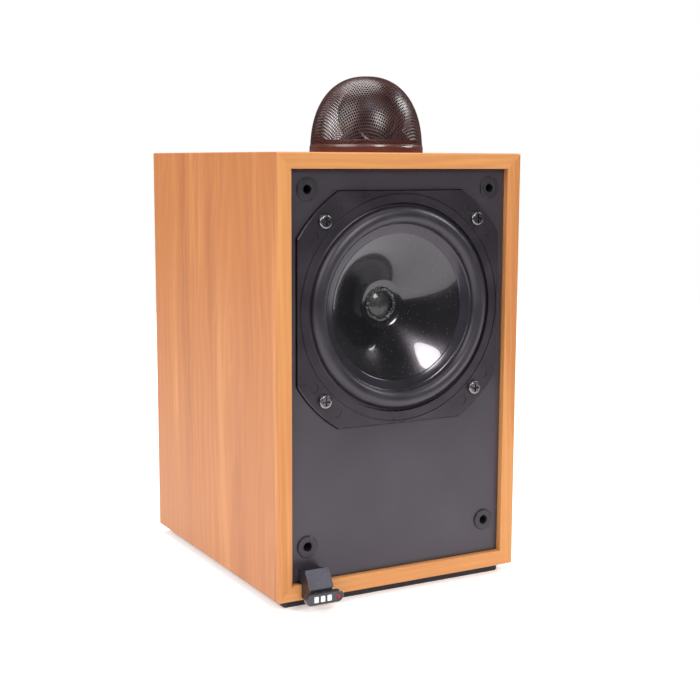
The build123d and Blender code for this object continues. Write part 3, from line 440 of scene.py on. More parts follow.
def gloss_plastic(name, colour, roughness=0.12):
    """Polished moulding with hairline scratches and slight unevenness."""
    material, tree, shader = new_finish(name, Coat_Weight=0.3, Coat_Roughness=0.05)
    where = on_object(tree)
    swirl = cloudy(tree, where, 70, 3)
    scratches = cloudy(tree, placed(tree, where, scale=(1, 0.06, 1), turn=(0, 35, 20)), 1900, 2)
    pale = [channel * 1.25 + 0.004 for channel in colour]
    colour_with(tree, shader, toned(tree, swirl, (0.35, colour), (0.7, pale)))
    rough = ranged(tree, scratches, 0.55, 0.8, roughness, roughness + 0.16)
    gloss_with(tree, shader, rough)
    relief(tree, shader, (swirl, 0.02 * MM))
    return material


# ================================================================ woofer finishes

def from_woofer_axis(tree):
    """Object coordinates counted from the woofer's axis."""
    return placed(tree, on_object(tree), move=(-WOOFER.x, 0, -WOOFER.z))


def cone_gloss():
    """The cone's polished black skin, with faint turning rings and specks of dust."""
    material, tree, shader = new_finish("cone_gloss", Coat_Weight=0.65, Coat_Roughness=0.035)
    shader.inputs["Specular Tint"].default_value = BLACK_SHEEN
    where = from_woofer_axis(tree)
    turning = bands(tree, where, 1800, kind="RINGS", direction="Y")
    dust = ranged(tree, spots(tree, where, 520), 0.05, 0.13, 1, 0)
    cloud = cloudy(tree, where, 40, 3)
    base = toned(tree, cloud, (0.3, (0.006, 0.006, 0.007)), (0.7, (0.010, 0.010, 0.011)))
    dusty = mixed(tree, sums(tree, "MULTIPLY", dust, 0.45), base, (0.30, 0.28, 0.30))
    colour_with(tree, shader, dusty)
    gloss_with(tree, shader, ranged(tree, cloud, 0.3, 0.7, 0.17, 0.24))
    relief(tree, shader, (turning, 0.0012 * MM))
    return material


def edge_rubber(name="edge_rubber"):
    """Black rubber with a soft sheen, glossier where the cone's lacquer covers its land."""
    material, tree, shader = new_finish(name, Specular_Tint=BLACK_SHEEN)
    where = on_object(tree)
    flat = placed(tree, from_woofer_axis(tree), scale=(1, 0, 1))
    reach = add_node(tree, "ShaderNodeVectorMath", [(0, flat)], operation="LENGTH").outputs["Value"]
    duller = ranged(tree, reach, CONE_RADIUS - 1.2 * MM, CONE_RADIUS + 0.6 * MM, 0, 0.21)
    bloom = cloudy(tree, where, 55, 4)
    skin = cloudy(tree, where, 1300, 2)
    dust = ranged(tree, spots(tree, where, 300), 0.0, 0.06, 1, 0)
    base = toned(tree, bloom, (0.3, (0.018, 0.016, 0.021)), (0.7, (0.028, 0.026, 0.032)))
    colour_with(tree, shader, mixed(tree, sums(tree, "MULTIPLY", dust, 0.2), base, (0.2, 0.2, 0.2)))
    gloss_with(tree, shader, sums(tree, "ADD", ranged(tree, bloom, 0.3, 0.7, 0.14, 0.22), duller))
    relief(tree, shader, (skin, 0.004 * MM))
    return material


def coarse_cap():
    """The dust cap: coarse cloth soaked in gloss."""
    material, tree, shader = new_finish("coarse_cap", Coat_Weight=0.6, Coat_Roughness=0.08)
    where = from_woofer_axis(tree)
    crumbs = spots(tree, where, 2400, "SMOOTH_F1")
    cloud = cloudy(tree, where, 500, 3)
    base = toned(tree, crumbs, (0.1, (0.020, 0.019, 0.022)), (0.6, (0.005, 0.005, 0.006)))
    colour_with(tree, shader, base)
    gloss_with(tree, shader, ranged(tree, cloud, 0.3, 0.7, 0.12, 0.3))
    relief(tree, shader, (crumbs, 0.30 * MM), (cloud, 0.12 * MM))
    return material


def clear_glue():
    """A set bead of clear glue, uneven and glassy, with glints painted into its colour as near-white
    flecks.
    """
    material, tree, shader = new_finish("clear_glue", Transmission_Weight=0.55, IOR=1.46)
    where = from_woofer_axis(tree)
    lumps = cloudy(tree, where, 420, 3)
    # painted highlight: near-white glint flecks mixed into the glue's base colour
    painted_glints = ranged(tree, cloudy(tree, where, 1500, 2), 0.60, 0.68, 0, 0.8)
    base = toned(tree, lumps, (0.3, (0.030, 0.029, 0.028)), (0.7, (0.090, 0.087, 0.083)))
    base = mixed(tree, painted_glints, base, (0.85, 0.84, 0.82))
    colour_with(tree, shader, base)
    gloss_with(tree, shader, ranged(tree, lumps, 0.3, 0.7, 0.04, 0.14))
    relief(tree, shader, (lumps, 0.9 * MM))
    return material


def plated_metal(name, colour, roughness, wear=0.5):
    """Plating over turned metal, duller where it is worn."""
    material, tree, shader = new_finish(name, Metallic=1.0)
    where = on_object(tree)
    worn = cloudy(tree, where, 160, 4)
    marks = cloudy(tree, placed(tree, where, scale=(1, 0.1, 1)), 2600, 2)
    dull = [channel * wear for channel in colour]
    colour_with(tree, shader, toned(tree, worn, (0.28, dull), (0.55, colour)))
    gloss_with(tree, shader, ranged(tree, worn, 0.3, 0.7, roughness * 1.5, roughness))
    relief(tree, shader, (marks, 0.006 * MM))
    return material


def wound_wire(name, centre, direction, pitch):
    """Enamelled copper wire, laid turn beside turn."""
    material, tree, shader = new_finish(name, Metallic=0.85, Coat_Weight=0.5)
    where = placed(tree, on_object(tree), move=tuple(-value for value in centre))
    scale = math.pi / (10 * pitch)
    turns = bands(tree, where, scale, kind="BANDS", direction=direction)
    varied = cloudy(tree, where, 300, 2)
    base = toned(tree, turns, (0.0, (0.18, 0.055, 0.02)), (0.7, (0.72, 0.30, 0.13)))
    stained = toned(tree, varied, (0.3, (0.40, 0.13, 0.05)), (0.7, (0.80, 0.38, 0.18)))
    colour_with(tree, shader, mixed(tree, 0.3, base, stained))
    gloss_with(tree, shader, ranged(tree, varied, 0.3, 0.7, 0.25, 0.4))
    relief(tree, shader, (turns, pitch * 0.4))
    return material


def woven(name, warp, weft, pitch):
    """A plain weave, warp along X and weft along Z."""
    material, tree, shader = new_finish(name, Sheen_Weight=0.3)
    where = on_object(tree)
    scale = math.pi / (10 * pitch)
    one = bands(tree, where, scale, direction="X")
    other = bands(tree, where, scale, direction="Z")
    over = sums(tree, "MULTIPLY", one, other)
    fuzz = cloudy(tree, where, 1200, 3)
    colour_with(tree, shader, toned(tree, over, (0.05, weft), (0.7, warp)))
    gloss_with(tree, shader, ranged(tree, fuzz, 0.3, 0.7, 0.72, 0.88))
    relief(tree, shader, (over, pitch * 0.3), (fuzz, 0.02 * MM))
    return material


def ground_ferrite():
    """Dark ground ferrite with chipped, grainy patches."""
    material, tree, shader = new_finish("ground_ferrite")
    where = on_object(tree)
    grains = cloudy(tree, where, 900, 5)
    chips = ranged(tree, spots(tree, where, 170), 0.0, 0.16, 1, 0)
    base = toned(tree, grains, (0.3, (0.035, 0.035, 0.038)), (0.7, (0.085, 0.085, 0.09)))
    colour_with(tree, shader, mixed(tree, chips, base, (0.12, 0.12, 0.13)))
    gloss_with(tree, shader, ranged(tree, grains, 0.3, 0.7, 0.45, 0.7))
    relief(tree, shader, (grains, 0.03 * MM), (chips, 0.05 * MM))
    return material


def pressed_fibre(name, colour):
    """Hard fibre board with flecks."""
    material, tree, shader = new_finish(name)
    where = on_object(tree)
    flecks = cloudy(tree, placed(tree, where, scale=(0.3, 1, 1)), 1100, 4)
    pale = [min(channel * 1.6, 1) for channel in colour]
    colour_with(tree, shader, toned(tree, flecks, (0.35, colour), (0.7, pale)))
    gloss_with(tree, shader, ranged(tree, flecks, 0.3, 0.7, 0.5, 0.7))
    relief(tree, shader, (flecks, 0.03 * MM))
    return material


# ================================================================ other finishes

def circuit_card_finish():
    """Green solder resist over raised copper tracks."""
    material, tree, shader = new_finish("circuit_card", Coat_Weight=0.4)
    where = on_object(tree)
    inputs = [("Vector", where), ("Scale", 110), ("Mortar Size", 0.06), ("Brick Width", 1.1)]
    tracks = add_node(tree, "ShaderNodeTexBrick", inputs, offset=0.35).outputs["Fac"]
    cloud = cloudy(tree, where, 120, 3)
    base = toned(tree, cloud, (0.3, (0.012, 0.075, 0.022)), (0.7, (0.020, 0.110, 0.035)))
    colour_with(tree, shader, mixed(tree, tracks, base, (0.045, 0.200, 0.060)))
    gloss_with(tree, shader, ranged(tree, cloud, 0.3, 0.7, 0.25, 0.4))
    relief(tree, shader, (tracks, 0.05 * MM))
    return material


def loose_fibre():
    """White polyester wadding."""
    material, tree, shader = new_finish("loose_fibre", Sheen_Weight=0.6, Sheen_Roughness=0.5)
    where = on_object(tree)
    strands = cloudy(tree, placed(tree, where, scale=(1, 1, 0.25)), 420, 6, 0.7)
    layers = cloudy(tree, placed(tree, where, scale=(0.3, 1, 0.3)), 160, 4)
    base = toned(tree, strands, (0.3, (0.62, 0.62, 0.59)), (0.7, (0.88, 0.88, 0.85)))
    colour_with(tree, shader, base)
    gloss_with(tree, shader, ranged(tree, layers, 0.3, 0.7, 0.85, 0.98))
    relief(tree, shader, (strands, 0.7 * MM), (layers, 0.6 * MM))
    return material


def perforated_brown():
    """Brown stove enamel on the tweeter's perforated cap, thin on the holes' edges."""
    material, tree, shader = new_finish("perforated_brown", Coat_Weight=0.5, Coat_Roughness=0.2)
    where = on_object(tree)
    flow = cloudy(tree, where, 90, 4)
    peel = cloudy(tree, where, 1600, 2)
    base = toned(tree, flow, (0.3, (0.050, 0.018, 0.015)), (0.7, (0.088, 0.034, 0.028)))
    colour_with(tree, shader, base)
    gloss_with(tree, shader, ranged(tree, flow, 0.3, 0.7, 0.28, 0.42))
    relief(tree, shader, (peel, 0.012 * MM))
    return material


def tinted_lens():
    """The indicator's clear red lens over a faceted reflector."""
    material, tree, shader = new_finish("tinted_lens", Transmission_Weight=0.25, IOR=1.49)
    where = on_object(tree)
    facets = spots(tree, where, 1300)
    base = toned(tree, facets, (0.1, (0.62, 0.02, 0.03)), (0.6, (0.20, 0.004, 0.010)))
    colour_with(tree, shader, base)
    gloss_with(tree, shader, ranged(tree, facets, 0, 1, 0.06, 0.16))
    relief(tree, shader, (facets, 0.03 * MM))
    return material


def drawn_tube(name, colour):
    """Extruded wire insulation with faint draw lines."""
    material, tree, shader = new_finish(name)
    where = on_object(tree)
    lines = cloudy(tree, placed(tree, where, scale=(1, 1, 0.05)), 2200, 2)
    soil = cloudy(tree, where, 60, 3)
    dark = [channel * 0.7 for channel in colour]
    colour_with(tree, shader, toned(tree, soil, (0.3, dark), (0.65, colour)))
    gloss_with(tree, shader, ranged(tree, soil, 0.3, 0.7, 0.4, 0.55))
    relief(tree, shader, (lines, 0.01 * MM))
    return material


# ================================================================ finishes on the CAD nodes

def dress(material, *nodes):
    """Gives CAD nodes a finish."""
    for node in nodes:
        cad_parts[node].material_slots[0].material = material


UPRIGHT_GRAIN = (0, 0, 0)
CROSS_GRAIN = (0, 90, 0)
BACK_GRAIN = (0, 0, 90)

dress(veneer_finish("veneer_left", UPRIGHT_GRAIN, (0.062, 0.034, 0)), "panel_left")
dress(veneer_finish("veneer_right", UPRIGHT_GRAIN, (-0.118, -0.012, 0)), "panel_right")
dress(veneer_finish("veneer_top", CROSS_GRAIN, (-0.286, 0.010, 0)), "panel_top")
dress(veneer_finish("veneer_bottom", CROSS_GRAIN, (0.022, -0.020, 0)), "panel_bottom")
dress(veneer_finish("veneer_back", BACK_GRAIN, (0.125, 0.016, 0)), "panel_back")
dress(lipping_finish("lipping_left", UPRIGHT_GRAIN, (0.105, 0.055, 0)), "edging_left")
dress(lipping_finish("lipping_right", UPRIGHT_GRAIN, (-0.040, 0.062, 0)), "edging_right")
dress(lipping_finish("lipping_top", CROSS_GRAIN, (-0.225, 0.060, 0)), "edging_top")
dress(lipping_finish("lipping_bottom", CROSS_GRAIN, (0.030, 0.052, 0)), "edging_bottom")

nickel = plated_metal("nickel_plate", (0.24, 0.23, 0.235), 0.22)
gilt = plated_metal("gilt_plate", (0.83, 0.62, 0.27), 0.16, 0.75)
zinc = plated_metal("zinc_plate", (0.52, 0.53, 0.55), 0.34, 0.7)
dress(satin_paint("baffle_paint", (0.032, 0.028, 0.034), 0.36), "front_baffle")
dress(satin_paint("plinth_paint", (0.010, 0.010, 0.011), 0.55), "base_plinth")
dress(moulded_plastic("socket_plastic", (0.020, 0.019, 0.022), 0.42), "grille_sockets")
dress(moulded_plastic("frame_plastic", (0.022, 0.019, 0.024), 0.30, 700, 0.012), "woofer_frame")
dress(moulded_plastic("gasket_foam", (0.028, 0.028, 0.028), 0.9, 1500, 0.12), "woofer_gasket")
dress(nickel, "woofer_screws", "terminal_screws", "board_fixings", "pod_fixings")
dress(plated_metal("former_foil", (0.78, 0.79, 0.81), 0.30, 0.85), "coil_former")
dress(wound_wire("woofer_winding", WOOFER, "Y", 0.3 * MM), "woofer_coil")
dress(wound_wire("tweeter_winding", TWEETER, "Y", 0.15 * MM), "tweeter_coil")
dress(wound_wire("crossover_winding", middle("crossover_coils"), "Z", 0.8 * MM), "crossover_coils")
dress(zinc, "woofer_top_plate", "woofer_pole_plate", "tweeter_motor")
dress(ground_ferrite(), "woofer_magnet")
dress(pressed_fibre("tag_strip_fibre", (0.16, 0.07, 0.03)), "woofer_tag_strip")
dress(moulded_plastic("cup_plastic", (0.019, 0.018, 0.020), 0.40, 800, 0.014), "terminal_cup")
dress(gilt, "terminal_posts", "post_nuts", "red_insert", "black_insert")
dress(gloss_plastic("red_grip_plastic", (0.42, 0.012, 0.012), 0.2), "red_knob")
dress(gloss_plastic("black_grip_plastic", (0.014, 0.014, 0.015), 0.2), "black_knob")
dress(circuit_card_finish(), "crossover_board")
dress(gloss_plastic("capacitor_film", (0.52, 0.38, 0.06), 0.25), "crossover_capacitors")
dress(pressed_fibre("resistor_ceramic", (0.55, 0.53, 0.48)), "crossover_resistors")
dress(gloss_plastic("relay_plastic", (0.05, 0.10, 0.22), 0.25), "protection_relay")
dress(drawn_tube("red_insulation", (0.34, 0.02, 0.02)), "board_wires", "driver_wires")
dress(moulded_plastic("badge_plastic", (0.022, 0.021, 0.025), 0.3, 900, 0.008), "badge_bracket")
dress(gloss_plastic("badge_gloss", (0.070, 0.068, 0.084), 0.24), "badge_cover")
dress(gloss_plastic("badge_pill_gloss", (0.026, 0.025, 0.030), 0.22), "badge_plate")
dress(moulded_plastic("white_print", (0.86, 0.86, 0.86), 0.4, 1200, 0.01), "badge_bars")
dress(tinted_lens(), "indicator_lens")
dress(gloss_plastic("pod_brown", (0.100, 0.028, 0.018), 0.14), "pod_base")
dress(moulded_plastic("cradle_rubber", (0.022, 0.016, 0.016), 0.5), "tweeter_cradle", "wire_grommet")
dress(moulded_plastic("capsule_plastic", (0.014, 0.012, 0.013), 0.24, 500, 0.006),
      "tweeter_housing", "tweeter_faceplate")


# ================================================================ woofer pieces

def make_cone():
    """The cone's skin, from its rim down to the seat of the dust cap."""
    steps = 28
    outline = []
    for step in range(steps + 1):
        radius = CONE_RADIUS + (NECK_RADIUS - CONE_RADIUS) * step / steps
        outline.append((radius, cone_y(radius)))
    outline.append((CAP_RADIUS, CAP_BASE_Y))
    cone = facing_piece("woofer_cone_skin", outline, WOOFER, 160)
    use_modifier(cone, "SOLIDIFY", thickness=CONE_SKIN, offset=-1, use_even_offset=True)
    smooth(cone)
    finish_with(cone, cone_gloss())
    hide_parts("woofer_cone")
    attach(cone, "woofer_diaphragm")


def make_dust_cap():
    """A shallow domed cap with a lumpy, soaked surface."""
    outline = cap_outline(CAP_RADIUS - CAP_INSET, CAP_BASE_Y, CAP_TIP_Y, 26)
    outline[-1] = (0, CAP_TIP_Y)
    cap = facing_piece("dust_cap_dome", outline, WOOFER, 96)
    roughen(cap, 0.09 * MM, 0.5 * MM)
    use_modifier(cap, "SOLIDIFY", thickness=CAP_SKIN, offset=-1)
    smooth(cap, 80)
    finish_with(cap, coarse_cap())
    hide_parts("dust_cap")
    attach(cap, "woofer_diaphragm")


def make_glue_ring():
    """The bead of glue round the dust cap, uneven in width and height."""
    crown = ((CAP_RADIUS + GLUE_RADIUS) / 2, CAP_BASE_Y - 0.15 * MM)
    half = (GLUE_RADIUS - CAP_RADIUS) / 2
    fullness, flatness = 0.86, 0.72
    bead = arc(crown, half * fullness, 10, -190, 12)
    outline = [(radius, crown[1] + (y - crown[1]) * flatness) for radius, y in bead]
    outline.append(outline[0])
    ring = facing_piece("glue_bead", outline, WOOFER, 120)
    roughen(ring, 0.22 * MM, 1.5 * MM)
    smooth(ring, 80)
    finish_with(ring, clear_glue())
    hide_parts("glue_ring")
    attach(ring, "woofer_diaphragm")


def make_surround():
    """The half-roll edge, from the basket's shoulder to the land glued on the cone."""
    flat_y = EDGE_SEAT_Y + ROLL_WALL / 2
    outline = [(EDGE_RADIUS, flat_y), (ROLL_CENTRE + ROLL_RADIUS + 0.9 * MM, flat_y)]
    outline += arc((ROLL_CENTRE, EDGE_SEAT_Y), ROLL_RADIUS, -4, -172, 24)
    outline.append((ROLL_CENTRE - ROLL_RADIUS - 0.15 * MM, EDGE_SEAT_Y - 0.05 * MM))
    steps = 6
    start = ROLL_CENTRE - ROLL_RADIUS - 0.7 * MM
    for step in range(steps + 1):
        radius = start + (LAND_RADIUS - start) * step / steps
        outline.append((radius, cone_y(min(radius, CONE_RADIUS)) - LAND_GAP))
    outline.append((LAND_RADIUS - 0.35 * MM, cone_y(LAND_RADIUS) - LAND_GAP * 0.35))
    edge = facing_piece("woofer_edge", outline, WOOFER, 160)
    use_modifier(edge, "SOLIDIFY", thickness=ROLL_WALL * 0.8, offset=0, use_even_offset=True)
    smooth(edge, 50)
    finish_with(edge, edge_rubber())
    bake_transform(edge)
    share_by_radius(edge, WOOFER, EDGE_RADIUS - 2 * MM, CONE_RADIUS)
    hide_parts("woofer_surround")


def make_spider():
    """The corrugated centring cloth behind the cone."""
    waves, steps, wave_height, cloth_wall = 5, 60, 0.9 * MM, 0.35 * MM
    rim_y = SPIDER_Y + 0.4 * MM
    inner, last = FORMER_RADIUS + 0.2 * MM, SPIDER_RADIUS - 3.6 * MM
    outline = []
    for step in range(steps + 1):
        share = step / steps
        swing = wave_height * math.sin(2 * math.pi * waves * share)
        outline.append((inner + (last - inner) * share, SPIDER_Y + swing))
    outline.append((SPIDER_RADIUS - 3 * MM, rim_y))
    outline.append((SPIDER_RADIUS, rim_y))
    cloth = facing_piece("spider_cloth_disc", outline, WOOFER, 96)
    use_modifier(cloth, "SOLIDIFY", thickness=cloth_wall, offset=0)
    smooth(cloth, 60)
    finish_with(
        cloth, woven("spider_weave", (0.62, 0.42, 0.12), (0.34, 0.20, 0.05), 0.5 * MM),
    )
    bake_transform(cloth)
    share_by_radius(cloth, WOOFER, last, inner)
    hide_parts("spider")


def lead_curve(side):
    """The line of one tinsel lead, from the former down to its tag."""
    low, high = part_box("tinsel_leads")
    x = side * (high.x - 0.6 * MM)
    former_end = Vector((x, low.y + 2.6 * MM, high.z))
    tag_end = Vector((x, high.y - 0.7 * MM, low.z))
    drop = former_end.z - tag_end.z
    return [
        former_end,
        Vector((x, former_end.y + 0.5 * MM, former_end.z - drop * 0.34)),
        Vector((x, former_end.y - 2.0 * MM, former_end.z - drop * 0.68)),
        tag_end,
    ]


def make_tinsel_leads():
    """Two braided leads, curved from the former down to their tags."""
    joined = []
    for side in (-1, 1):
        curve = bpy.data.curves.new("lead_line", "CURVE")
        curve.dimensions = "3D"
        spline = curve.splines.new("NURBS")
        points = lead_curve(side)
        spline.points.add(len(points) - 1)
        for point, place in zip(spline.points, points):
            point.co = (*place, 1)
        spline.order_u = 3
        spline.use_endpoint_u = True
        curve.resolution_u = 14
        curve.bevel_depth = LEAD_RADIUS
        curve.bevel_resolution = 3
        curve.use_fill_caps = True
        line = bpy.data.objects.new(f"tinsel_lead_{side}", curve)
        bpy.context.scene.collection.objects.link(line)
        joined.append(line)
    bpy.ops.object.select_all(action="DESELECT")
    for line in joined:
        line.select_set(True)
    bpy.context.view_layer.objects.active = joined[0]
    bpy.ops.object.convert(target="MESH")
    bpy.ops.object.join()
    leads = bpy.context.object
    leads.name = "tinsel_lead_pair"
    smooth(leads, 60)
    braid = wound_wire("tinsel_braid", WOOFER, "DIAGONAL", 0.45 * MM)
    finish_with(leads, braid)
    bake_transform(leads)
    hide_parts("tinsel_leads")


# ================================================================ tweeter pieces

def make_tweeter_dome():
    """The thin metal dome."""
    low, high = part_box("tweeter_dome")
    radius = half_width("tweeter_dome")
    outline = cap_outline(radius, high.y, low.y, 20)
    outline[-1] = (0, low.y)
    dome = facing_piece("tweeter_dome_skin", outline, TWEETER, 96)
    use_modifier(dome, "SOLIDIFY", thickness=0.3 * MM, offset=-1)
    smooth(dome, 60)
    finish_with(dome, plated_metal("dome_metal", (0.045, 0.043, 0.048), 0.34, 0.8))
    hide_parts("tweeter_dome")
    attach(dome, "tweeter_diaphragm")


def make_tweeter_surround():
    """The doped cloth roll round the dome."""
    base_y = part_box("tweeter_surround")[1].y - 0.2 * MM
    inner = half_width("tweeter_dome") + 0.15 * MM
    roll = 0.75 * MM
    outline = arc((inner + roll, base_y - 0.2 * MM), roll, 180, 360, 12)
    outline.append((DOME_EDGE_RADIUS, base_y - 0.2 * MM))
    edge = facing_piece("tweeter_edge", outline, TWEETER, 96)
    use_modifier(edge, "SOLIDIFY", thickness=0.25 * MM, offset=0)
    smooth(edge, 60)
    finish_with(edge, edge_rubber("doped_cloth"))
    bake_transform(edge)
    share_by_radius(edge, TWEETER, inner + 2 * roll, inner)
    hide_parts("tweeter_surround")


def pod_wall(share):
    """(radius, height above the cabinet) of the cap, from its foot line at 0 to its crown at 1."""
    turn = math.pi / 2 * share
    radius = POD_RADIUS * max(math.cos(turn), 0) ** (2 / POD_ROUNDNESS)
    return radius, POD_HEIGHT * math.sin(turn) ** (2 / POD_ROUNDNESS)


def wall_from_crown():
    """The cap's wall as (flat radius, radius, height) steps, for a blank drawn at equal area."""
    steps = 400
    rows, area = [], 0.0
    last = pod_wall(1)
    for step in range(1, steps + 1):
        here = pod_wall(1 - step / steps)
        slope = math.hypot(here[0] - last[0], here[1] - last[1])
        area += math.pi * (here[0] + last[0]) * slope
        rows.append((math.sqrt(area / math.pi), *here))
        last = here
    return rows


def drawn_to_dome(flat, rows, flat_radii):
    """Where a point of the flat blank ends up on the drawn cap."""
    reach = math.hypot(flat.x, flat.y)
    index = bisect.bisect(flat_radii, reach)
    if index == 0:
        radius, height = rows[0][1] * reach / flat_radii[0], POD_HEIGHT
    elif index == len(rows):
        radius, height = rows[-1][1], -(reach - flat_radii[-1])
    else:
        share = (reach - flat_radii[index - 1]) / (flat_radii[index] - flat_radii[index - 1])
        radius = rows[index - 1][1] + (rows[index][1] - rows[index - 1][1]) * share
        height = rows[index - 1][2] + (rows[index][2] - rows[index - 1][2]) * share
    radius -= SHEET_THICKNESS
    scale = radius / reach if reach else 0
    height = min(height, POD_HEIGHT - SHEET_THICKNESS)
    return Vector((POD.x + flat.x * scale, POD.y + flat.y * scale, CABINET_TOP + height))


def make_perforated_cap():
    """A flat sheet of close-packed holes, drawn over the tweeter as a dome."""
    rows = wall_from_crown()
    flat_radii = [row[0] for row in rows]
    foot = CAP_FOOT_Z - CABINET_TOP
    trim = max(row[0] for row in rows if row[2] > foot - 2.4 * MM)
    cuts = math.ceil(trim * 2 / math.sqrt(3) / HOLE_PITCH)
    bpy.ops.object.select_all(action="DESELECT")
    bpy.ops.mesh.primitive_circle_add(vertices=6, radius=cuts * HOLE_PITCH, fill_type="TRIFAN")
    cap = bpy.context.object
    cap.name = "perforated_cap"
    bpy.ops.object.mode_set(mode="EDIT")
    bpy.ops.mesh.select_all(action="SELECT")
    bpy.ops.mesh.subdivide(number_cuts=cuts - 1)
    bpy.ops.mesh.select_all(action="SELECT")
    bpy.ops.mesh.bevel(offset=HOLE_RADIUS, offset_type="ABSOLUTE", segments=1, affect="VERTICES")
    bpy.ops.mesh.select_mode(type="FACE")
    bpy.ops.mesh.select_all(action="DESELECT")
    bpy.ops.object.mode_set(mode="OBJECT")
    hole_area = 1.5 * math.sqrt(3) * HOLE_RADIUS**2
    for face in cap.data.polygons:
        regular = abs(face.area - hole_area) < hole_area * 0.02
        outside = math.hypot(face.center.x, face.center.y) > trim
        face.select = regular or outside
    bpy.ops.object.mode_set(mode="EDIT")
    bpy.ops.mesh.delete(type="FACE")
    bpy.ops.mesh.select_mode(type="VERT")
    bpy.ops.object.mode_set(mode="OBJECT")
    for vertex in cap.data.vertices:
        vertex.co = drawn_to_dome(vertex.co, rows, flat_radii)
    use_modifier(cap, "SOLIDIFY", thickness=SHEET_THICKNESS, offset=1, use_even_offset=True)
    smooth(cap, 50)
    return cap


def make_hem(material):
    """The plain rim of the perforated cap, where it enters the moulded base."""
    low, high = CAP_FOOT_Z - 1.5 * MM, CAP_FOOT_Z + HEM_HEIGHT
    outer = POD_RADIUS + 0.12 * MM
    inner = POD_RADIUS - SHEET_THICKNESS - 0.15 * MM
    soft = 0.2 * MM
    outline = [(inner, low), (inner, high - soft), (inner + soft, high), (outer - soft, high)]
    outline += [(outer, high - soft), (outer, low), (inner, low)]
    hem = upright_piece("cap_hem", outline, POD, 144)
    smooth(hem, 50)
    finish_with(hem, material)
    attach(hem, "cabinet")
    return hem


def make_pod_cap():
    brown = perforated_brown()
    cap = make_perforated_cap()
    finish_with(cap, brown)
    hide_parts("pod_mesh")
    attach(cap, "cabinet")
    make_hem(brown)


# ================================================================ wadding

def make_wadding():
    """A folded, lumpy block of wadding, a little smaller than the space it fills."""
    low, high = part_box("damping_wadding")
    size = high - low
    bpy.ops.object.select_all(action="DESELECT")
    bpy.ops.mesh.primitive_cube_add(size=1, location=(low + high) / 2, scale=size * 0.94)
    wadding = bpy.context.object
    wadding.name = "wadding_folds"
    bpy.ops.object.transform_apply(location=True, scale=True)
    bpy.ops.object.mode_set(mode="EDIT")
    bpy.ops.mesh.select_all(action="SELECT")
    bpy.ops.mesh.subdivide(number_cuts=9, smoothness=0.0)
    bpy.ops.mesh.vertices_smooth(factor=0.5, repeat=3)
    bpy.ops.object.mode_set(mode="OBJECT")
    use_modifier(wadding, "SUBSURF", levels=2, render_levels=2)
    roughen(wadding, 5 * MM, 34 * MM)
    roughen(wadding, 1.6 * MM, 8 * MM)
    smooth(wadding, 80)
    finish_with(wadding, loose_fibre())
    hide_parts("damping_wadding")
    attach(wadding, "cabinet")


# ================================================================ studio

CAMERA_PLACE = Vector((-0.3803, -0.7160, 0.2504))
CAMERA_YAW = 29.0
CAMERA_PITCH = -8.326
CAMERA_ROLL = 0.2186
CAMERA_LENS = 66.195
CAMERA_SENSOR = 36.0


def set_camera():
    """Looks from the listener's left, a little above the cabinet's middle."""
    data = bpy.data.cameras.new("studio_camera")
    data.sensor_width = CAMERA_SENSOR
    data.lens = CAMERA_LENS
    data.clip_start = 0.01
    camera = bpy.data.objects.new("studio_camera", data)
    bpy.context.scene.collection.objects.link(camera)
    turn = Matrix.Rotation(math.radians(-CAMERA_YAW), 4, "Z")
    tip = Matrix.Rotation(math.radians(90 + CAMERA_PITCH), 4, "X")
    roll = Matrix.Rotation(math.radians(CAMERA_ROLL), 4, "Z")
    camera.matrix_world = Matrix.Translation(CAMERA_PLACE) @ turn @ tip @ roll
    bpy.context.scene.camera = camera


def soft_light(name, azimuth, elevation, distance, size, power):
    """A soft light aimed at the woofer; azimuth 0 is straight in front and 90 on its right."""
    around, up = math.radians(azimuth), math.radians(elevation)
    towards = Vector(
        (math.sin(around) * math.cos(up), -math.cos(around) * math.cos(up), math.sin(up))
    )
    data = bpy.data.lights.new(name, "AREA")
    data.shape = "DISK"
    data.size = size
    data.energy = power
    light = bpy.data.objects.new(name, data)
    light.location = WOOFER + towards * distance
    light.rotation_euler = (-towards).to_track_quat("-Z", "Y").to_euler()
    bpy.context.scene.collection.objects.link(light)


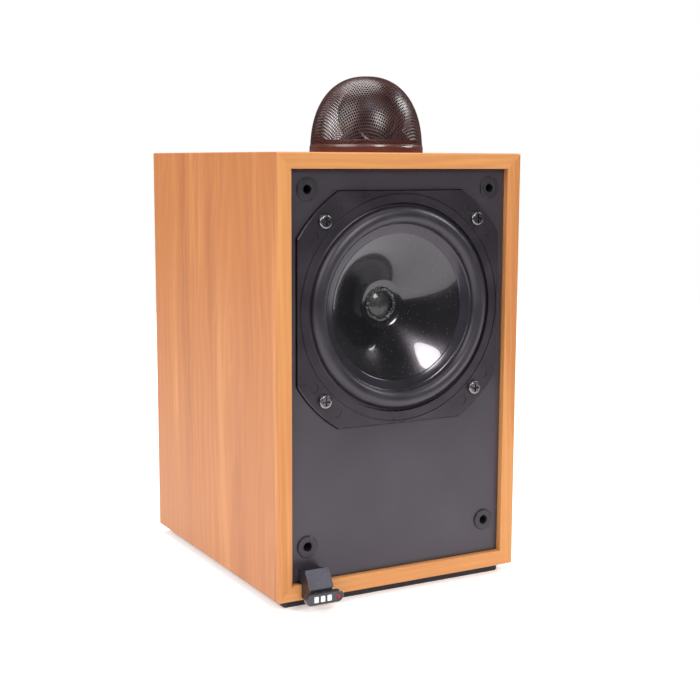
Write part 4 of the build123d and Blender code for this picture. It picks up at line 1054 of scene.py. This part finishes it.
def set_world():
    """White where the camera sees it, dim as light, so that black parts stay black."""
    world = bpy.data.worlds.new("studio_air")
    world.use_nodes = True
    tree = world.node_tree
    dim = tree.nodes["Background"]
    dim.inputs["Color"].default_value = (0.80, 0.78, 0.85, 1)
    dim.inputs["Strength"].default_value = 0.14
    white = add_node(tree, "ShaderNodeBackground", [("Color", (1, 1, 1, 1)), ("Strength", 1.0)])
    seen = tree.nodes.new("ShaderNodeLightPath").outputs["Is Camera Ray"]
    both = add_node(
        tree, "ShaderNodeMixShader",
        [(0, seen), (1, dim.outputs[0]), (2, white.outputs[0])],
    )
    tree.links.new(both.outputs[0], tree.nodes["World Output"].inputs["Surface"])
    bpy.context.scene.world = world


def set_floor():
    """A pale table top that ends in front of the cabinet."""
    front, back, half = -0.52, 1.3, 1.3
    bpy.ops.object.select_all(action="DESELECT")
    bpy.ops.mesh.primitive_plane_add(size=1, location=(0, (front + back) / 2, 0))
    floor = bpy.context.object
    floor.name = "table_top"
    floor.scale = (half * 2, back - front, 1)
    bpy.ops.object.transform_apply(location=True, scale=True)
    material, tree, shader = new_finish("table_white", Roughness=0.6, Emission_Strength=0.42)
    shader.inputs["Emission Color"].default_value = (1, 1, 1, 1)
    cloud = cloudy(tree, on_object(tree), 6, 3)
    colour_with(tree, shader, toned(tree, cloud, (0.3, (0.86, 0.86, 0.87)), (0.7, (0.89, 0.89, 0.89))))
    floor.data.materials.append(material)


# ================================================================ all together

set_camera()
make_cone()
make_dust_cap()
make_glue_ring()
make_surround()
make_spider()
make_tinsel_leads()
make_tweeter_dome()
make_tweeter_surround()
make_pod_cap()
make_wadding()
set_floor()
set_world()
soft_light("key_light", azimuth=0, elevation=35, distance=1.5, size=0.50, power=13)
soft_light("left_light", azimuth=-78, elevation=36, distance=1.6, size=1.1, power=17)
soft_light("right_light", azimuth=84, elevation=36, distance=1.6, size=0.6, power=10)
soft_light("ceiling_light", azimuth=180, elevation=74, distance=2.1, size=2.0, power=58)
bpy.context.scene.view_settings.view_transform = "Standard"
